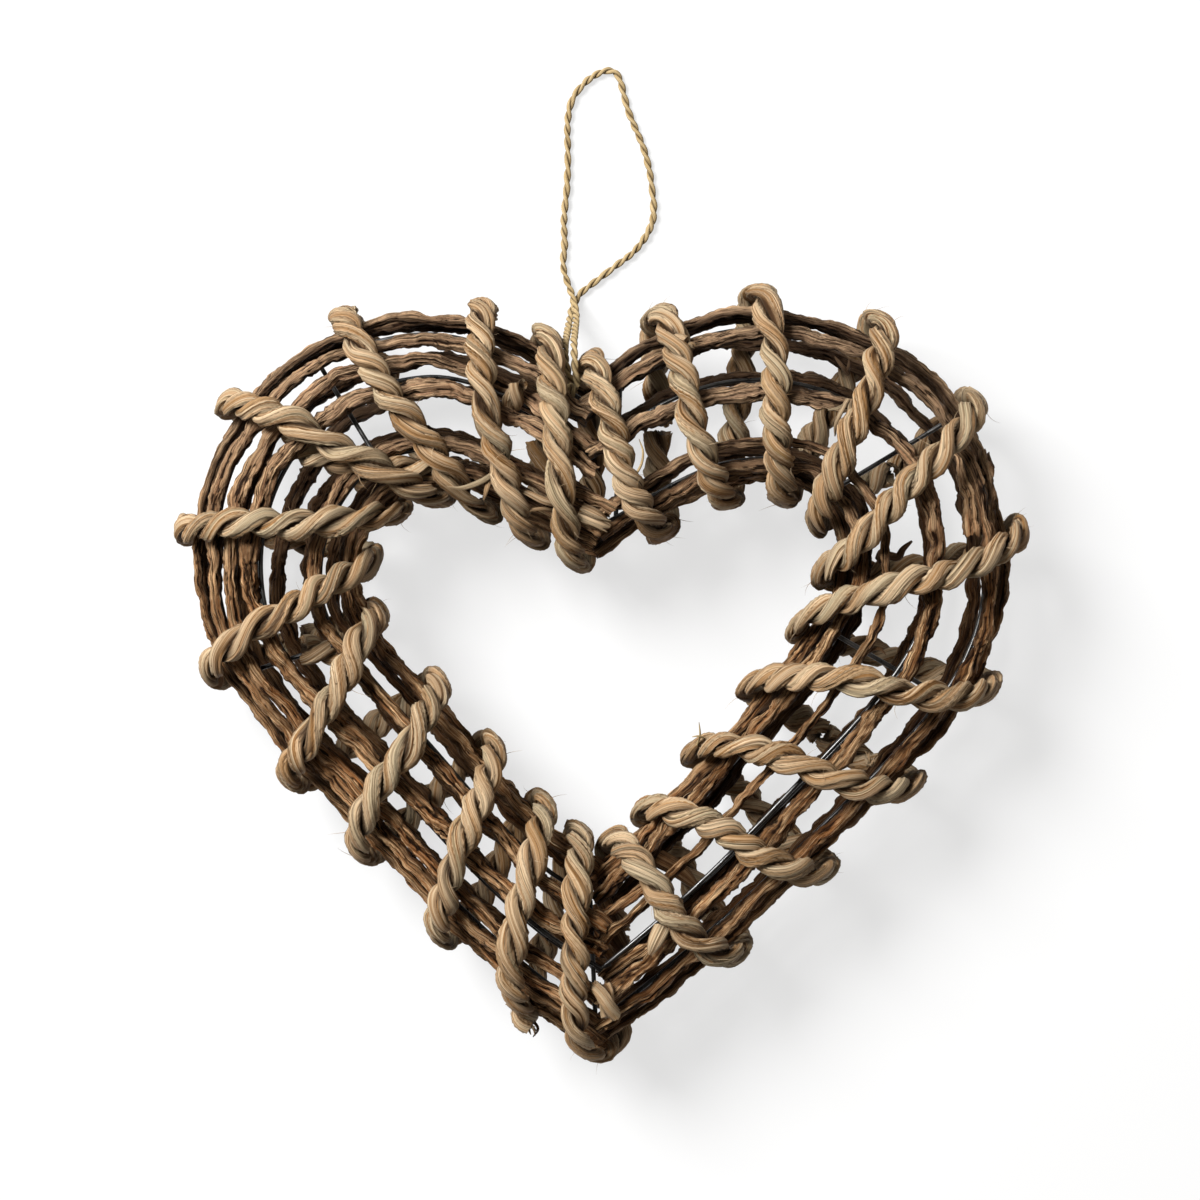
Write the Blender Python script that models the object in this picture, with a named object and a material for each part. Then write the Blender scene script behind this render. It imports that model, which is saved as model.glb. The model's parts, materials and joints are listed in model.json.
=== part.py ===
"""A heart woven from bark-covered vines on a wire frame and bound with twisted grass rope.

The heart lies on its back: X runs to its right, Y to its top and Z out of its front.
The vines form a hollow tube bent into a heart. A station counts along that tube: 0 at the
cleft, 11 at the tip and 22 at the cleft again, by way of the left lobe. A ring angle goes
round the tube: 0 at the outer edge, 90 at the front, 180 at the inner edge, 270 at the back.
"""
import bisect
import math

import bmesh
import bpy
from mathutils import Vector

# The heart's centre line and its tube, in metres
HEART_WIDTH = 0.2236
HEART_HEIGHT = 0.1925
TUBE_WIDTH = 0.0568
TUBE_DEPTH = 0.044
ROUNDNESS = 2.4

# Vines and wires
STOUT_VINE = 0.0054
VINE = 0.0044
SLIM_VINE = 0.0038
THIN_VINE = 0.0030
WIRE_DIAMETER = 0.0016
VINE_SWAY = 1.8
VINE_END_GAPS = {"left_cleft": 0.0060, "right_cleft": 0.0010, "tip": 0.0030}
CLEARANCE = 0.0004

# The rope, which is pressed flat where it turns round the outer and inner edges
ROPE_WIDTH = 0.0104
ROPE_THICKNESS = 0.0078
ROPE_EDGE_THICKNESS = 0.0052
ROPE_SLACK = 0.0008
ROPE_JOIN = 0.0012

# The hanging loop and its knot
TWINE_DIAMETER = 0.0023
KNOT_HALF_WIDTH = 0.0026

# Facets
VINE_SIDES = 5
VINE_POINTS = 16
WIRE_SIDES = 4
WIRE_POINTS = 32
ROPE_SIDES = 6
ROPE_POINTS_PER_TURN = 16
TWINE_SPACING = 0.0064
KNOT_SIDES = 6
KNOT_POINTS = 10

# The tube along the heart: where its centre is, as shares of half the width and height,
# which way its outer edge faces in degrees, and its width as a share of TUBE_WIDTH
TIP = 11
CLEFT = 22
TUBE_ROWS = (
    (-0.020, 0.725, 93.7, 1.03),
    (-0.227, 0.870, 97.6, 1.14),
    (-0.465, 0.972, 103.5, 1.06),
    (-0.686, 0.940, 115.7, 1.01),
    (-0.844, 0.823, 131.1, 1.02),
    (-0.957, 0.622, 147.3, 1.01),
    (-0.998, 0.389, 166.2, 0.96),
    (-0.966, 0.160, 189.8, 0.90),
    (-0.838, -0.064, 209.1, 0.88),
    (-0.560, -0.420, 226.9, 0.82),
    (-0.253, -0.799, 249.9, 0.87),
    (0.008, -1.021, 270.0, 1.01),
    (0.250, -0.792, 285.7, 0.91),
    (0.558, -0.429, 303.5, 0.91),
    (0.836, -0.080, 323.7, 0.95),
    (0.968, 0.172, 339.2, 1.00),
    (1.003, 0.419, 358.4, 0.98),
    (0.957, 0.676, 382.4, 1.00),
    (0.824, 0.870, 403.5, 1.03),
    (0.630, 0.971, 423.8, 1.05),
    (0.402, 0.978, 439.9, 1.09),
    (0.181, 0.884, 450.0, 1.10),
    (-0.020, 0.725, 453.7, 1.03),
)

# Each vine's ring angle at the cleft, at the side and at the tip, and its diameter
LEFT_VINES = (
    (0, 0, 4, SLIM_VINE),
    (14, 13, 16, THIN_VINE),
    (56, 40, 42, VINE),
    (82, 58, 66, VINE),
    (92, 80, 92, STOUT_VINE),
    (120, 122, 114, VINE),
    (150, 160, 166, VINE),
    (195, 193, 192, STOUT_VINE),
    (222, 225, 222, VINE),
    (250, 252, 254, VINE),
    (280, 272, 281, STOUT_VINE),
    (300, 305, 309, VINE),
    (346, 346, 347, SLIM_VINE),
)
RIGHT_VINES = (
    (2, 0, 8, SLIM_VINE),
    (52, 44, 42, VINE),
    (82, 88, 66, STOUT_VINE),
    (116, 118, 96, THIN_VINE),
    (140, 141, 134, VINE),
    (168, 170, 168, VINE),
    (194, 193, 194, VINE),
    (215, 213, 218, STOUT_VINE),
    (240, 237, 245, VINE),
    (282, 280, 281, VINE),
    (308, 311, 322, VINE),
    (346, 346, 348, SLIM_VINE),
)

# The wire hearts, by their ring angles in the left and the right half, and the stations of the
# struts that cross between two of them
WIRE_RINGS = {
    "wire_outer": (33, 33),
    "wire_front": (84, 87),
    "wire_inner": (130, 150),
    "wire_back": (286, 281),
}
STRUT_STATIONS = {
    "strut_left_lobe": 3.4,
    "strut_left_side": 7.5,
    "strut_tip": 10.9,
    "strut_right_side": 14.35,
    "strut_right_lobe": 17.45,
    "strut_cleft": 21.6,
}

# Each turn of the rope: its stations at the inner edge, over the front and at the outer edge
ROPE_TURNS = (
    (0.20, 0.52, 0.70),
    (0.94, 1.46, 1.42),
    (1.64, 2.69, 2.90),
    (2.50, 3.98, 4.52),
    (3.80, 5.45, 5.88),
    (5.34, 6.83, 7.34),
    (7.20, 8.12, 8.42),
    (8.50, 8.78, 9.04),
    (9.20, 9.47, 9.70),
    (9.84, 10.06, 10.38),
    (10.42, 10.68, 11.00),
    (11.42, 11.86, 12.26),
    (11.96, 12.57, 12.96),
    (12.62, 13.26, 13.70),
    (13.34, 14.10, 14.72),
    (14.20, 15.64, 16.26),
    (15.36, 16.99, 17.48),
    (17.06, 18.21, 18.66),
    (18.40, 19.43, 19.86),
    (19.78, 20.56, 20.90),
    (21.04, 21.62, 21.80),
)
# The rope's lengths, each by its first turn and the number of turns it makes
ROPE_LENGTHS = {
    "rope_left_lobe": (1, 5),
    "rope_left_arm": (6, 5),
    "rope_right_arm": (11, 3),
    "rope_right_side": (14, 3),
    "rope_right_lobe": (17, 3),
    "rope_cleft": (20, 2),
}
BEFORE_INNER_EDGE = 0.25
SEAM_STEP = 0.01

# The hanging loop, from the knot down to the surface, round its eye, over itself and back
KNOT_PLACE = 0.32
LOOP_ROUTE = (
    (-0.0092, 0.0994, 0.0474),
    (-0.0104, 0.1024, 0.0488),
    (-0.0112, 0.1060, 0.0482),
    (-0.0115, 0.1100, 0.0435),
    (-0.0114, 0.1135, 0.0350),
    (-0.0111, 0.1170, 0.0245),
    (-0.0107, 0.1212, 0.0132),
    (-0.0102, 0.1248, 0.0062),
    (-0.0094, 0.1285, 0.0024),
    (-0.0080, 0.1313, 0.0013),
    (-0.0053, 0.1348, 0.0013),
    (0.0048, 0.1425, 0.0013),
    (0.0126, 0.1485, 0.0013),
    (0.0175, 0.1553, 0.0013),
    (0.0195, 0.1611, 0.0013),
    (0.0193, 0.1696, 0.0013),
    (0.0166, 0.1839, 0.0013),
    (0.0105, 0.1989, 0.0013),
    (0.0073, 0.2106, 0.0013),
    (0.0038, 0.2132, 0.0013),
    (-0.0009, 0.2118, 0.0013),
    (-0.0055, 0.2082, 0.0013),
    (-0.0095, 0.2025, 0.0013),
    (-0.0111, 0.1939, 0.0013),
    (-0.0109, 0.1778, 0.0013),
    (-0.0123, 0.1611, 0.0013),
    (-0.0121, 0.1511, 0.0013),
    (-0.0126, 0.1435, 0.0014),
    (-0.0110, 0.1375, 0.0024),
    (-0.0094, 0.1332, 0.0042),
    (-0.0084, 0.1292, 0.0068),
    (-0.0079, 0.1254, 0.0112),
    (-0.0080, 0.1210, 0.0200),
    (-0.0083, 0.1175, 0.0305),
    (-0.0085, 0.1138, 0.0405),
    (-0.0084, 0.1100, 0.0466),
    (-0.0081, 0.1060, 0.0492),
    (-0.0077, 0.1020, 0.0492),
    (-0.0069, 0.0979, 0.0474),
)

# Sizes that follow from those above
VINE_RADIUS_LIMIT = max(STOUT_VINE, VINE, SLIM_VINE, THIN_VINE) / 2
WIRE_INSET = VINE_RADIUS_LIMIT + CLEARANCE + WIRE_DIAMETER / 2
ROPE_STANDOFF = VINE_RADIUS_LIMIT + CLEARANCE + ROPE_SLACK
ROPE_FLAT_SHARE = math.cos(math.pi / ROPE_SIDES)
MIDDLE_HEIGHT = TUBE_DEPTH / 2 + ROPE_STANDOFF + ROPE_THICKNESS / 2 * (1 + ROPE_FLAT_SHARE)


def smooth(before, start, end, after, share):
    """The value a share of the way from start to end, on a smooth line through all four."""
    slope_in = end - before
    bend = 2 * before - 5 * start + 4 * end - after
    twist = 3 * (start - end) + after - before
    return start + 0.5 * share * (slope_in + share * (bend + share * twist))


def tube_row(station):
    """The tube's centre x and y, facing and width at a station, in metres and radians."""
    station = station % CLEFT
    first, last = (0, TIP) if station < TIP else (TIP, CLEFT)
    index = min(int(station), last - 1)
    share = station - index
    values = []
    for column in range(4):
        start = TUBE_ROWS[index][column]
        end = TUBE_ROWS[index + 1][column]
        before = TUBE_ROWS[index - 1][column] if index > first else 2 * start - end
        after = TUBE_ROWS[index + 2][column] if index + 2 <= last else 2 * end - start
        values.append(smooth(before, start, end, after, share))
    x, y, facing, width = values
    return x * HEART_WIDTH / 2, y * HEART_HEIGHT / 2, math.radians(facing), width * TUBE_WIDTH


def ring_share(wave):
    """A sine or cosine pushed outward, which turns the tube's oval into a rounder-cornered one."""
    return math.copysign(abs(wave) ** (2 / ROUNDNESS), wave)


def oval_point(station, ring_angle):
    """A point on the tube's oval, where the vines' centre lines run."""
    x, y, facing, width = tube_row(station)
    across = width / 2 * ring_share(math.cos(ring_angle))
    up = TUBE_DEPTH / 2 * ring_share(math.sin(ring_angle))
    return Vector((x + across * math.cos(facing), y + across * math.sin(facing), MIDDLE_HEIGHT + up))


def tube_point(station, ring_angle, offset):
    """A point at a distance outside the tube's oval surface, and the outward direction there."""
    along = oval_point(station + 0.05, ring_angle) - oval_point(station - 0.05, ring_angle)
    around = oval_point(station, ring_angle + 0.05) - oval_point(station, ring_angle - 0.05)
    normal = along.cross(around).normalized()
    return oval_point(station, ring_angle) + normal * offset, normal


def make_material(name, colour, roughness, metallic=0.0):
    """A plain surface with one colour, roughness and metallic value."""
    material = bpy.data.materials.new(name)
    material.use_nodes = True
    shader = material.node_tree.nodes["Principled BSDF"]
    shader.inputs["Base Color"].default_value = (*colour, 1.0)
    shader.inputs["Roughness"].default_value = roughness
    shader.inputs["Metallic"].default_value = metallic
    material.diffuse_color = (*colour, 1.0)
    return material


def add_mesh(name, bm, material):
    """Turns a bmesh into a smooth-shaded object of that name."""
    bmesh.ops.recalc_face_normals(bm, faces=bm.faces[:])
    mesh = bpy.data.meshes.new(name)
    bm.to_mesh(mesh)
    bm.free()
    mesh.shade_smooth()
    mesh.materials.append(material)
    piece = bpy.data.objects.new(name, mesh)
    bpy.context.collection.objects.link(piece)
    return piece


def directions(points, closed):
    """The direction of travel at each point of a line."""
    count = len(points)
    ways = []
    for index in range(count):
        ahead = (index + 1) % count if closed else min(index + 1, count - 1)
        behind = index - 1 if closed else max(index - 1, 0)
        ways.append((points[ahead] - points[behind]).normalized())
    return ways


def sweep(name, points, ways, normals, half_sizes, sides, material, closed=False):
    """A solid bar along points, whose oval section is half_sizes deep and wide at each point."""
    bm = bmesh.new()
    rings = []
    for index, (point, along, normal) in enumerate(zip(points, ways, normals)):
        depth_way = (normal - along * normal.dot(along)).normalized()
        width_way = along.cross(depth_way)
        half_depth, half_width = half_sizes[index]
        ring = []
        for side in range(sides):
            angle = math.tau * (side + 0.5) / sides
            across = depth_way * (half_depth * math.cos(angle))
            across += width_way * (half_width * math.sin(angle))
            ring.append(bm.verts.new(point + across))
        rings.append(ring)
    pairs = list(zip(rings, rings[1:]))
    if closed:
        pairs.append((rings[-1], rings[0]))
    for near, far in pairs:
        for side in range(sides):
            following = (side + 1) % sides
            bm.faces.new((near[side], near[following], far[following], far[side]))
    if not closed:
        bm.faces.new(rings[0])
        bm.faces.new(rings[-1])
    return add_mesh(name, bm, material)


def vine_angle(angles, share, number):
    """A vine's ring angle in radians, through its three angles, with a slow sway of its own."""
    cleft, side, tip = angles
    bend = 2 * (cleft + tip - 2 * side)
    slope = tip - cleft - bend
    sway = VINE_SWAY * math.sin(math.tau * (1.6 * share + 0.37 * number))
    return math.radians(cleft + slope * share + bend * share * share + sway)


def seam_end(seam, way, ring_angle, distance):
    """The first station that way from a seam where the tube is a distance clear of its plane."""
    facing = tube_row(seam)[2]
    across_seam = Vector((-math.sin(facing), math.cos(facing), 0))
    start = oval_point(seam, ring_angle)
    station = seam
    while abs((oval_point(station, ring_angle) - start).dot(across_seam)) < distance:
        station += way * SEAM_STEP
    return station


def make_vine(name, row, number, first, last, material):
    """One bark-covered vine along a half of the heart, which stops short of both seams."""
    *angles, diameter = row
    way = math.copysign(1, last - first)
    seam_gap = diameter / 2 + CLEARANCE
    cleft_gap = seam_gap + VINE_END_GAPS["left_cleft" if way > 0 else "right_cleft"]
    tip_gap = seam_gap + VINE_END_GAPS["tip"]
    start = seam_end(first, way, vine_angle(angles, 0, number), cleft_gap)
    end = seam_end(last, -way, vine_angle(angles, 1, number), tip_gap)
    points = []
    normals = []
    for step in range(VINE_POINTS):
        share = step / (VINE_POINTS - 1)
        angle = vine_angle(angles, share, number)
        point, normal = tube_point(start + (end - start) * share, angle, 0.0)
        points.append(point)
        normals.append(normal)
    half_sizes = [(diameter / 2, diameter / 2)] * VINE_POINTS
    ways = directions(points, False)
    return sweep(name, points, ways, normals, half_sizes, VINE_SIDES, material)


def make_vines(material):
    """All the vines of both halves."""
    for half, rows, first, last in (
        ("left", LEFT_VINES, 0, TIP),
        ("right", RIGHT_VINES, CLEFT, TIP),
    ):
        for number, row in enumerate(rows, start=1):
            make_vine(f"vine_{half}_{number:02d}", row, number, first, last, material)


def wire_point(name, station):
    """A point of a wire heart, inside the vines, and the outward direction there."""
    left, right = WIRE_RINGS[name]
    if station in (0, TIP):
        ring_angle = (left + right) / 2
    else:
        ring_angle = left if station < TIP else right
    return tube_point(station, math.radians(ring_angle), -WIRE_INSET)


def wire_points(name):
    """The corners of one wire heart, and the outward direction at each."""
    pairs = [wire_point(name, CLEFT * step / WIRE_POINTS) for step in range(WIRE_POINTS)]
    return [point for point, normal in pairs], [normal for point, normal in pairs]


def make_wires(material):
    """The wire hearts and the struts that brace the outer one against the inner one."""
    half = WIRE_DIAMETER / 2
    for name in WIRE_RINGS:
        points, normals = wire_points(name)
        half_sizes = [(half, half)] * WIRE_POINTS
        ways = directions(points, True)
        sweep(name, points, ways, normals, half_sizes, WIRE_SIDES, material, closed=True)
    for name, station in STRUT_STATIONS.items():
        ends = [wire_point(ring, station)[0] for ring in ("wire_outer", "wire_inner")]
        along = (ends[1] - ends[0]).normalized()
        inset = along * (WIRE_DIAMETER + CLEARANCE)
        points = [ends[0] + inset, ends[1] - inset]
        normals = [Vector((0, 0, 1))] * 2
        sweep(name, points, [along] * 2, normals, [(half, half)] * 2, WIRE_SIDES, material)


def rope_station(progress):
    """The rope's station at a progress in turns, on a smooth line through its stated stations."""
    knots = []
    count = len(ROPE_TURNS)
    for turn in range(int(progress) - 2, int(progress) + 4):
        inner, front, outer = (s + CLEFT * (turn // count) for s in ROPE_TURNS[turn % count])
        following = turn + 1
        next_inner = ROPE_TURNS[following % count][0] + CLEFT * (following // count)
        knots.append((turn, inner))
        knots.append((turn + 0.25, front))
        knots.append((turn + 0.5, outer))
        knots.append((turn + 0.75, (outer + next_inner) / 2))
    index = bisect.bisect_right([knot[0] for knot in knots], progress) - 1
    before, start, end, after = (knot[1] for knot in knots[index - 1 : index + 3])
    return smooth(before, start, end, after, (progress - knots[index][0]) * 4)


def rope_point(progress):
    """The rope's centre, outward direction and thickness at a progress in turns."""
    angle = math.pi - math.tau * progress
    thickness = ROPE_EDGE_THICKNESS
    thickness += (ROPE_THICKNESS - ROPE_EDGE_THICKNESS) * abs(math.sin(angle))
    offset = ROPE_STANDOFF + thickness / 2
    point, normal = tube_point(rope_station(progress), angle, offset)
    return point, normal, thickness


def make_rope(name, first_turn, turns, material):
    """One length of rope round the vines, which ends at the back a little before the next one."""
    join = ROPE_JOIN / 2 / (2 * (TUBE_WIDTH + TUBE_DEPTH))
    start = first_turn - BEFORE_INNER_EDGE + join
    end = first_turn - BEFORE_INNER_EDGE + turns - join
    steps = turns * ROPE_POINTS_PER_TURN
    points = []
    ways = []
    normals = []
    half_sizes = []
    for step in range(steps + 1):
        progress = start + (end - start) * step / steps
        point, normal, thickness = rope_point(progress)
        points.append(point)
        ways.append((rope_point(progress + join)[0] - rope_point(progress - join)[0]).normalized())
        normals.append(normal)
        half_sizes.append((thickness / 2, ROPE_WIDTH / 2))
    return sweep(name, points, ways, normals, half_sizes, ROPE_SIDES, material)


def smooth_route(route, spacing):
    """Points about a spacing apart on a smooth curve through a route's own points."""
    fine = []
    for index in range(len(route) - 1):
        start, end = route[index], route[index + 1]
        before = route[index - 1] if index else 2 * start - end
        after = route[index + 2] if index + 2 < len(route) else 2 * end - start
        for part in range(8):
            fine.append(smooth(before, start, end, after, part / 8))
    fine.append(route[-1])
    travelled = [0.0]
    for start, end in zip(fine, fine[1:]):
        travelled.append(travelled[-1] + (end - start).length)
    count = round(travelled[-1] / spacing)
    points = []
    for step in range(count + 1):
        wanted = travelled[-1] * step / count
        index = min(bisect.bisect_right(travelled, wanted), len(fine) - 1)
        share = (wanted - travelled[index - 1]) / (travelled[index] - travelled[index - 1])
        points.append(fine[index - 1].lerp(fine[index], share))
    return points


def make_hanging_loop(material):
    """The twine loop, as a round tube along its route."""
    points = smooth_route([Vector(point) for point in LOOP_ROUTE], TWINE_SPACING)
    curve = bpy.data.curves.new("hanging_loop", "CURVE")
    curve.dimensions = "3D"
    curve.bevel_depth = TWINE_DIAMETER / 2
    curve.bevel_resolution = 2
    curve.use_fill_caps = True
    curve.render_resolution_u = 0
    spline = curve.splines.new("POLY")
    spline.points.add(len(points) - 1)
    for spline_point, point in zip(spline.points, points):
        spline_point.co = (*point, 1.0)
    curve.materials.append(material)
    loop = bpy.data.objects.new("hanging_loop", curve)
    bpy.context.collection.objects.link(loop)
    return loop


def make_loop_knot(material):
    """The twine's turns round the outer wire, beside the cleft: a ring with an oval section."""
    start, end = wire_points("wire_outer")[0][:2]
    centre = start.lerp(end, KNOT_PLACE)
    axis = (end - start).normalized()
    half_thickness = TWINE_DIAMETER / 2
    ring_radius = WIRE_DIAMETER / 2 + CLEARANCE + half_thickness
    side_way = axis.cross(Vector((0, 0, 1))).normalized()
    up_way = axis.cross(side_way)
    ring_points = []
    ring_normals = []
    steps = KNOT_POINTS
    for step in range(steps):
        angle = math.tau * step / steps
        outward = side_way * math.cos(angle) + up_way * math.sin(angle)
        ring_points.append(centre + outward * ring_radius)
        ring_normals.append(outward)
    half_sizes = [(half_thickness, KNOT_HALF_WIDTH)] * steps
    ways = directions(ring_points, True)
    return sweep(
        "loop_knot", ring_points, ways, ring_normals, half_sizes, KNOT_SIDES, material, closed=True
    )


def centre_on_origin(loose):
    """Moves every piece so that the box round the heart, without its loose cord, is centred."""
    bpy.context.view_layer.update()
    pieces = list(bpy.context.scene.objects)
    corners = []
    for piece in pieces:
        if piece not in loose:
            corners.extend(piece.matrix_world @ Vector(corner) for corner in piece.bound_box)
    shift = Vector((0, 0, 0))
    for axis in (0, 1):
        values = [corner[axis] for corner in corners]
        shift[axis] = -(min(values) + max(values)) / 2
    for piece in pieces:
        piece.location = shift


def main():
    """Clears the scene and models the heart."""
    for old in list(bpy.data.objects):
        bpy.data.objects.remove(old)
    bark = make_material("bark", (0.115, 0.058, 0.026), 0.75)
    wire = make_material("black_wire", (0.018, 0.017, 0.016), 0.35, 0.6)
    grass = make_material("grass_rope", (0.335, 0.225, 0.120), 0.70)
    jute = make_material("jute_twine", (0.450, 0.345, 0.205), 0.85)
    make_vines(bark)
    make_wires(wire)
    for name, (first_turn, turns) in ROPE_LENGTHS.items():
        make_rope(name, first_turn, turns, grass)
    knot = make_loop_knot(jute)
    loop = make_hanging_loop(jute)
    centre_on_origin((knot, loop))


main()
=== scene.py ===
# %% [markdown]
# # A woven heart of vines, grass rope and twine
# The heart is a hollow tube of bark-covered vines over a wire frame. A two-strand grass rope binds
# it all the way round, and a thin jute twine makes its hanging loop. It lies on its back on a pale
# floor, and the camera looks straight down on it.

# %% Load the fixed frame
import bisect
import json
import math
import bpy
import numpy as np
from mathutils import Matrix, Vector

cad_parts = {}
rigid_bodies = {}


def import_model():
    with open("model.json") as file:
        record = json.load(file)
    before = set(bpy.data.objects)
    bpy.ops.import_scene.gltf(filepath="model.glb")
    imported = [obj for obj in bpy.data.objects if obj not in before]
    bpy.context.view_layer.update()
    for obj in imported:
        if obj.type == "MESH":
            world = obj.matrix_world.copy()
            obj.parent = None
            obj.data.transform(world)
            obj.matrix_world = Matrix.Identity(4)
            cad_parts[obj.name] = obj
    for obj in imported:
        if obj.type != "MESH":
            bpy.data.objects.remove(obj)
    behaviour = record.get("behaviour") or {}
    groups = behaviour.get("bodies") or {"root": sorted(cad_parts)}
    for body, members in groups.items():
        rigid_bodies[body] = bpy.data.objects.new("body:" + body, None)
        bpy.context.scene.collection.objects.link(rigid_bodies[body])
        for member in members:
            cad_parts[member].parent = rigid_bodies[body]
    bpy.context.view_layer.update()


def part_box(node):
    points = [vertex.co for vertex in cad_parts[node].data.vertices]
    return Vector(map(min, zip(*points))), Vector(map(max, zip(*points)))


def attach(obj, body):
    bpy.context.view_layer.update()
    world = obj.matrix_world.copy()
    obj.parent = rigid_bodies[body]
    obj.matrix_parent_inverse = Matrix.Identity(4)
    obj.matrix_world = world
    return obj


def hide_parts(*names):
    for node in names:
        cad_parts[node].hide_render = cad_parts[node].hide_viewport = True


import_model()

# %% [markdown]
# ## The heart's own ruler
# Everything on this heart follows one tube, so a place on it needs only two numbers. The station
# counts along the tube: 0 at the cleft, 11 at the tip and 22 at the cleft again, by way of the left
# lobe. The ring angle goes round the tube: 0 is the outer edge, 90 the front, 180 the inner edge.
# A table of rows could be joined by straight lines, but a smooth line through them has no corners
# except the two that a heart has. The rows and sizes are those of the solid model.

# %% Sizes and rows of the tube
HEART_WIDTH = 0.2236
HEART_HEIGHT = 0.1925
TUBE_WIDTH = 0.0568
TUBE_DEPTH = 0.044
ROUNDNESS = 2.4
STOUT_VINE = 0.0054
VINE = 0.0044
SLIM_VINE = 0.0038
THIN_VINE = 0.0030
WIRE_DIAMETER = 0.0016
VINE_SWAY = 1.8
CLEARANCE = 0.0004
ROPE_WIDTH = 0.0104
ROPE_THICKNESS = 0.0078
ROPE_EDGE_THICKNESS = 0.0052
ROPE_SLACK = 0.0008
TIP = 11
CLEFT = 22
TUBE_ROWS = (
    (-0.020, 0.725, 93.7, 1.03),
    (-0.227, 0.870, 97.6, 1.14),
    (-0.465, 0.972, 103.5, 1.06),
    (-0.686, 0.940, 115.7, 1.01),
    (-0.844, 0.823, 131.1, 1.02),
    (-0.957, 0.622, 147.3, 1.01),
    (-0.998, 0.389, 166.2, 0.96),
    (-0.966, 0.160, 189.8, 0.90),
    (-0.838, -0.064, 209.1, 0.88),
    (-0.560, -0.420, 226.9, 0.82),
    (-0.253, -0.799, 249.9, 0.87),
    (0.008, -1.021, 270.0, 1.01),
    (0.250, -0.792, 285.7, 0.91),
    (0.558, -0.429, 303.5, 0.91),
    (0.836, -0.080, 323.7, 0.95),
    (0.968, 0.172, 339.2, 1.00),
    (1.003, 0.419, 358.4, 0.98),
    (0.957, 0.676, 382.4, 1.00),
    (0.824, 0.870, 403.5, 1.03),
    (0.630, 0.971, 423.8, 1.05),
    (0.402, 0.978, 439.9, 1.09),
    (0.181, 0.884, 450.0, 1.10),
    (-0.020, 0.725, 453.7, 1.03),
)
WIRE_INSET = STOUT_VINE / 2 + CLEARANCE + WIRE_DIAMETER / 2
ROPE_STANDOFF = STOUT_VINE / 2 + CLEARANCE + ROPE_SLACK
MIDDLE_HEIGHT = TUBE_DEPTH / 2 + ROPE_STANDOFF + ROPE_THICKNESS / 2 * (1 + math.cos(math.pi / 6))
print("the tube's middle is", round(MIDDLE_HEIGHT * 1000, 1), "mm above the floor")

# %% From station and ring angle to a point
def smooth(before, start, end, after, share):
    """The value a share of the way from start to end, on a smooth line through all four."""
    bend = 2 * before - 5 * start + 4 * end - after
    twist = 3 * (start - end) + after - before
    return start + 0.5 * share * (end - before + share * (bend + share * twist))


def tube_row(station):
    """The tube's centre x and y, facing and width at a station."""
    station = station % CLEFT
    first, last = (0, TIP) if station < TIP else (TIP, CLEFT)
    index = min(int(station), last - 1)
    rows = np.array(TUBE_ROWS)
    start, end = rows[index], rows[index + 1]
    before = rows[index - 1] if index > first else 2 * start - end
    after = rows[index + 2] if index + 2 <= last else 2 * end - start
    x, y, facing, width = smooth(before, start, end, after, station - index)
    return x * HEART_WIDTH / 2, y * HEART_HEIGHT / 2, math.radians(facing), width * TUBE_WIDTH


def ring_share(wave):
    """A sine or cosine pushed outward, which squares the tube's oval a little."""
    return math.copysign(abs(wave) ** (2 / ROUNDNESS), wave)


def oval_point(station, ring_angle):
    """A point on the tube's oval, where the vines' centre lines run."""
    x, y, facing, width = tube_row(station)
    across = width / 2 * ring_share(math.cos(ring_angle))
    up = TUBE_DEPTH / 2 * ring_share(math.sin(ring_angle))
    return Vector((x + across * math.cos(facing), y + across * math.sin(facing), MIDDLE_HEIGHT + up))


def tube_point(station, ring_angle, offset):
    """A point at a distance outside the tube's oval surface, and the outward direction there."""
    along = oval_point(station + 0.05, ring_angle) - oval_point(station - 0.05, ring_angle)
    around = oval_point(station, ring_angle + 0.05) - oval_point(station, ring_angle - 0.05)
    normal = along.cross(around).normalized()
    return oval_point(station, ring_angle) + normal * offset, normal


WIRE_RINGS = {
    "wire_outer": (33, 33),
    "wire_front": (84, 87),
    "wire_inner": (130, 150),
    "wire_back": (286, 281),
}
WIRE_POINTS = 32


def wire_point(name, station):
    """A point of a wire heart, which lies inside the vines."""
    left, right = WIRE_RINGS[name]
    ring_angle = (left + right) / 2 if station in (0, TIP) else left if station < TIP else right
    return tube_point(station, math.radians(ring_angle), -WIRE_INSET)[0]


ring = [wire_point("wire_outer", CLEFT * n / WIRE_POINTS) for n in range(WIRE_POINTS)]
low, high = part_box("wire_outer")
PLACE = Vector((
    (low.x + high.x) / 2 - (min(p.x for p in ring) + max(p.x for p in ring)) / 2,
    (low.y + high.y) / 2 - (min(p.y for p in ring) + max(p.y for p in ring)) / 2,
    0,
))
print("the heart is set over the origin by", [round(v * 1000, 2) for v in PLACE], "mm")

# %% [markdown]
# ## The camera
# The photograph looks straight at the heart's front. A heart on its back shows the same view to a
# camera that looks straight down. A long lens well above it keeps the perspective as weak as in the
# photograph. Its height and lens are set so that one pixel of the photograph is 0.357 mm of floor.

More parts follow.
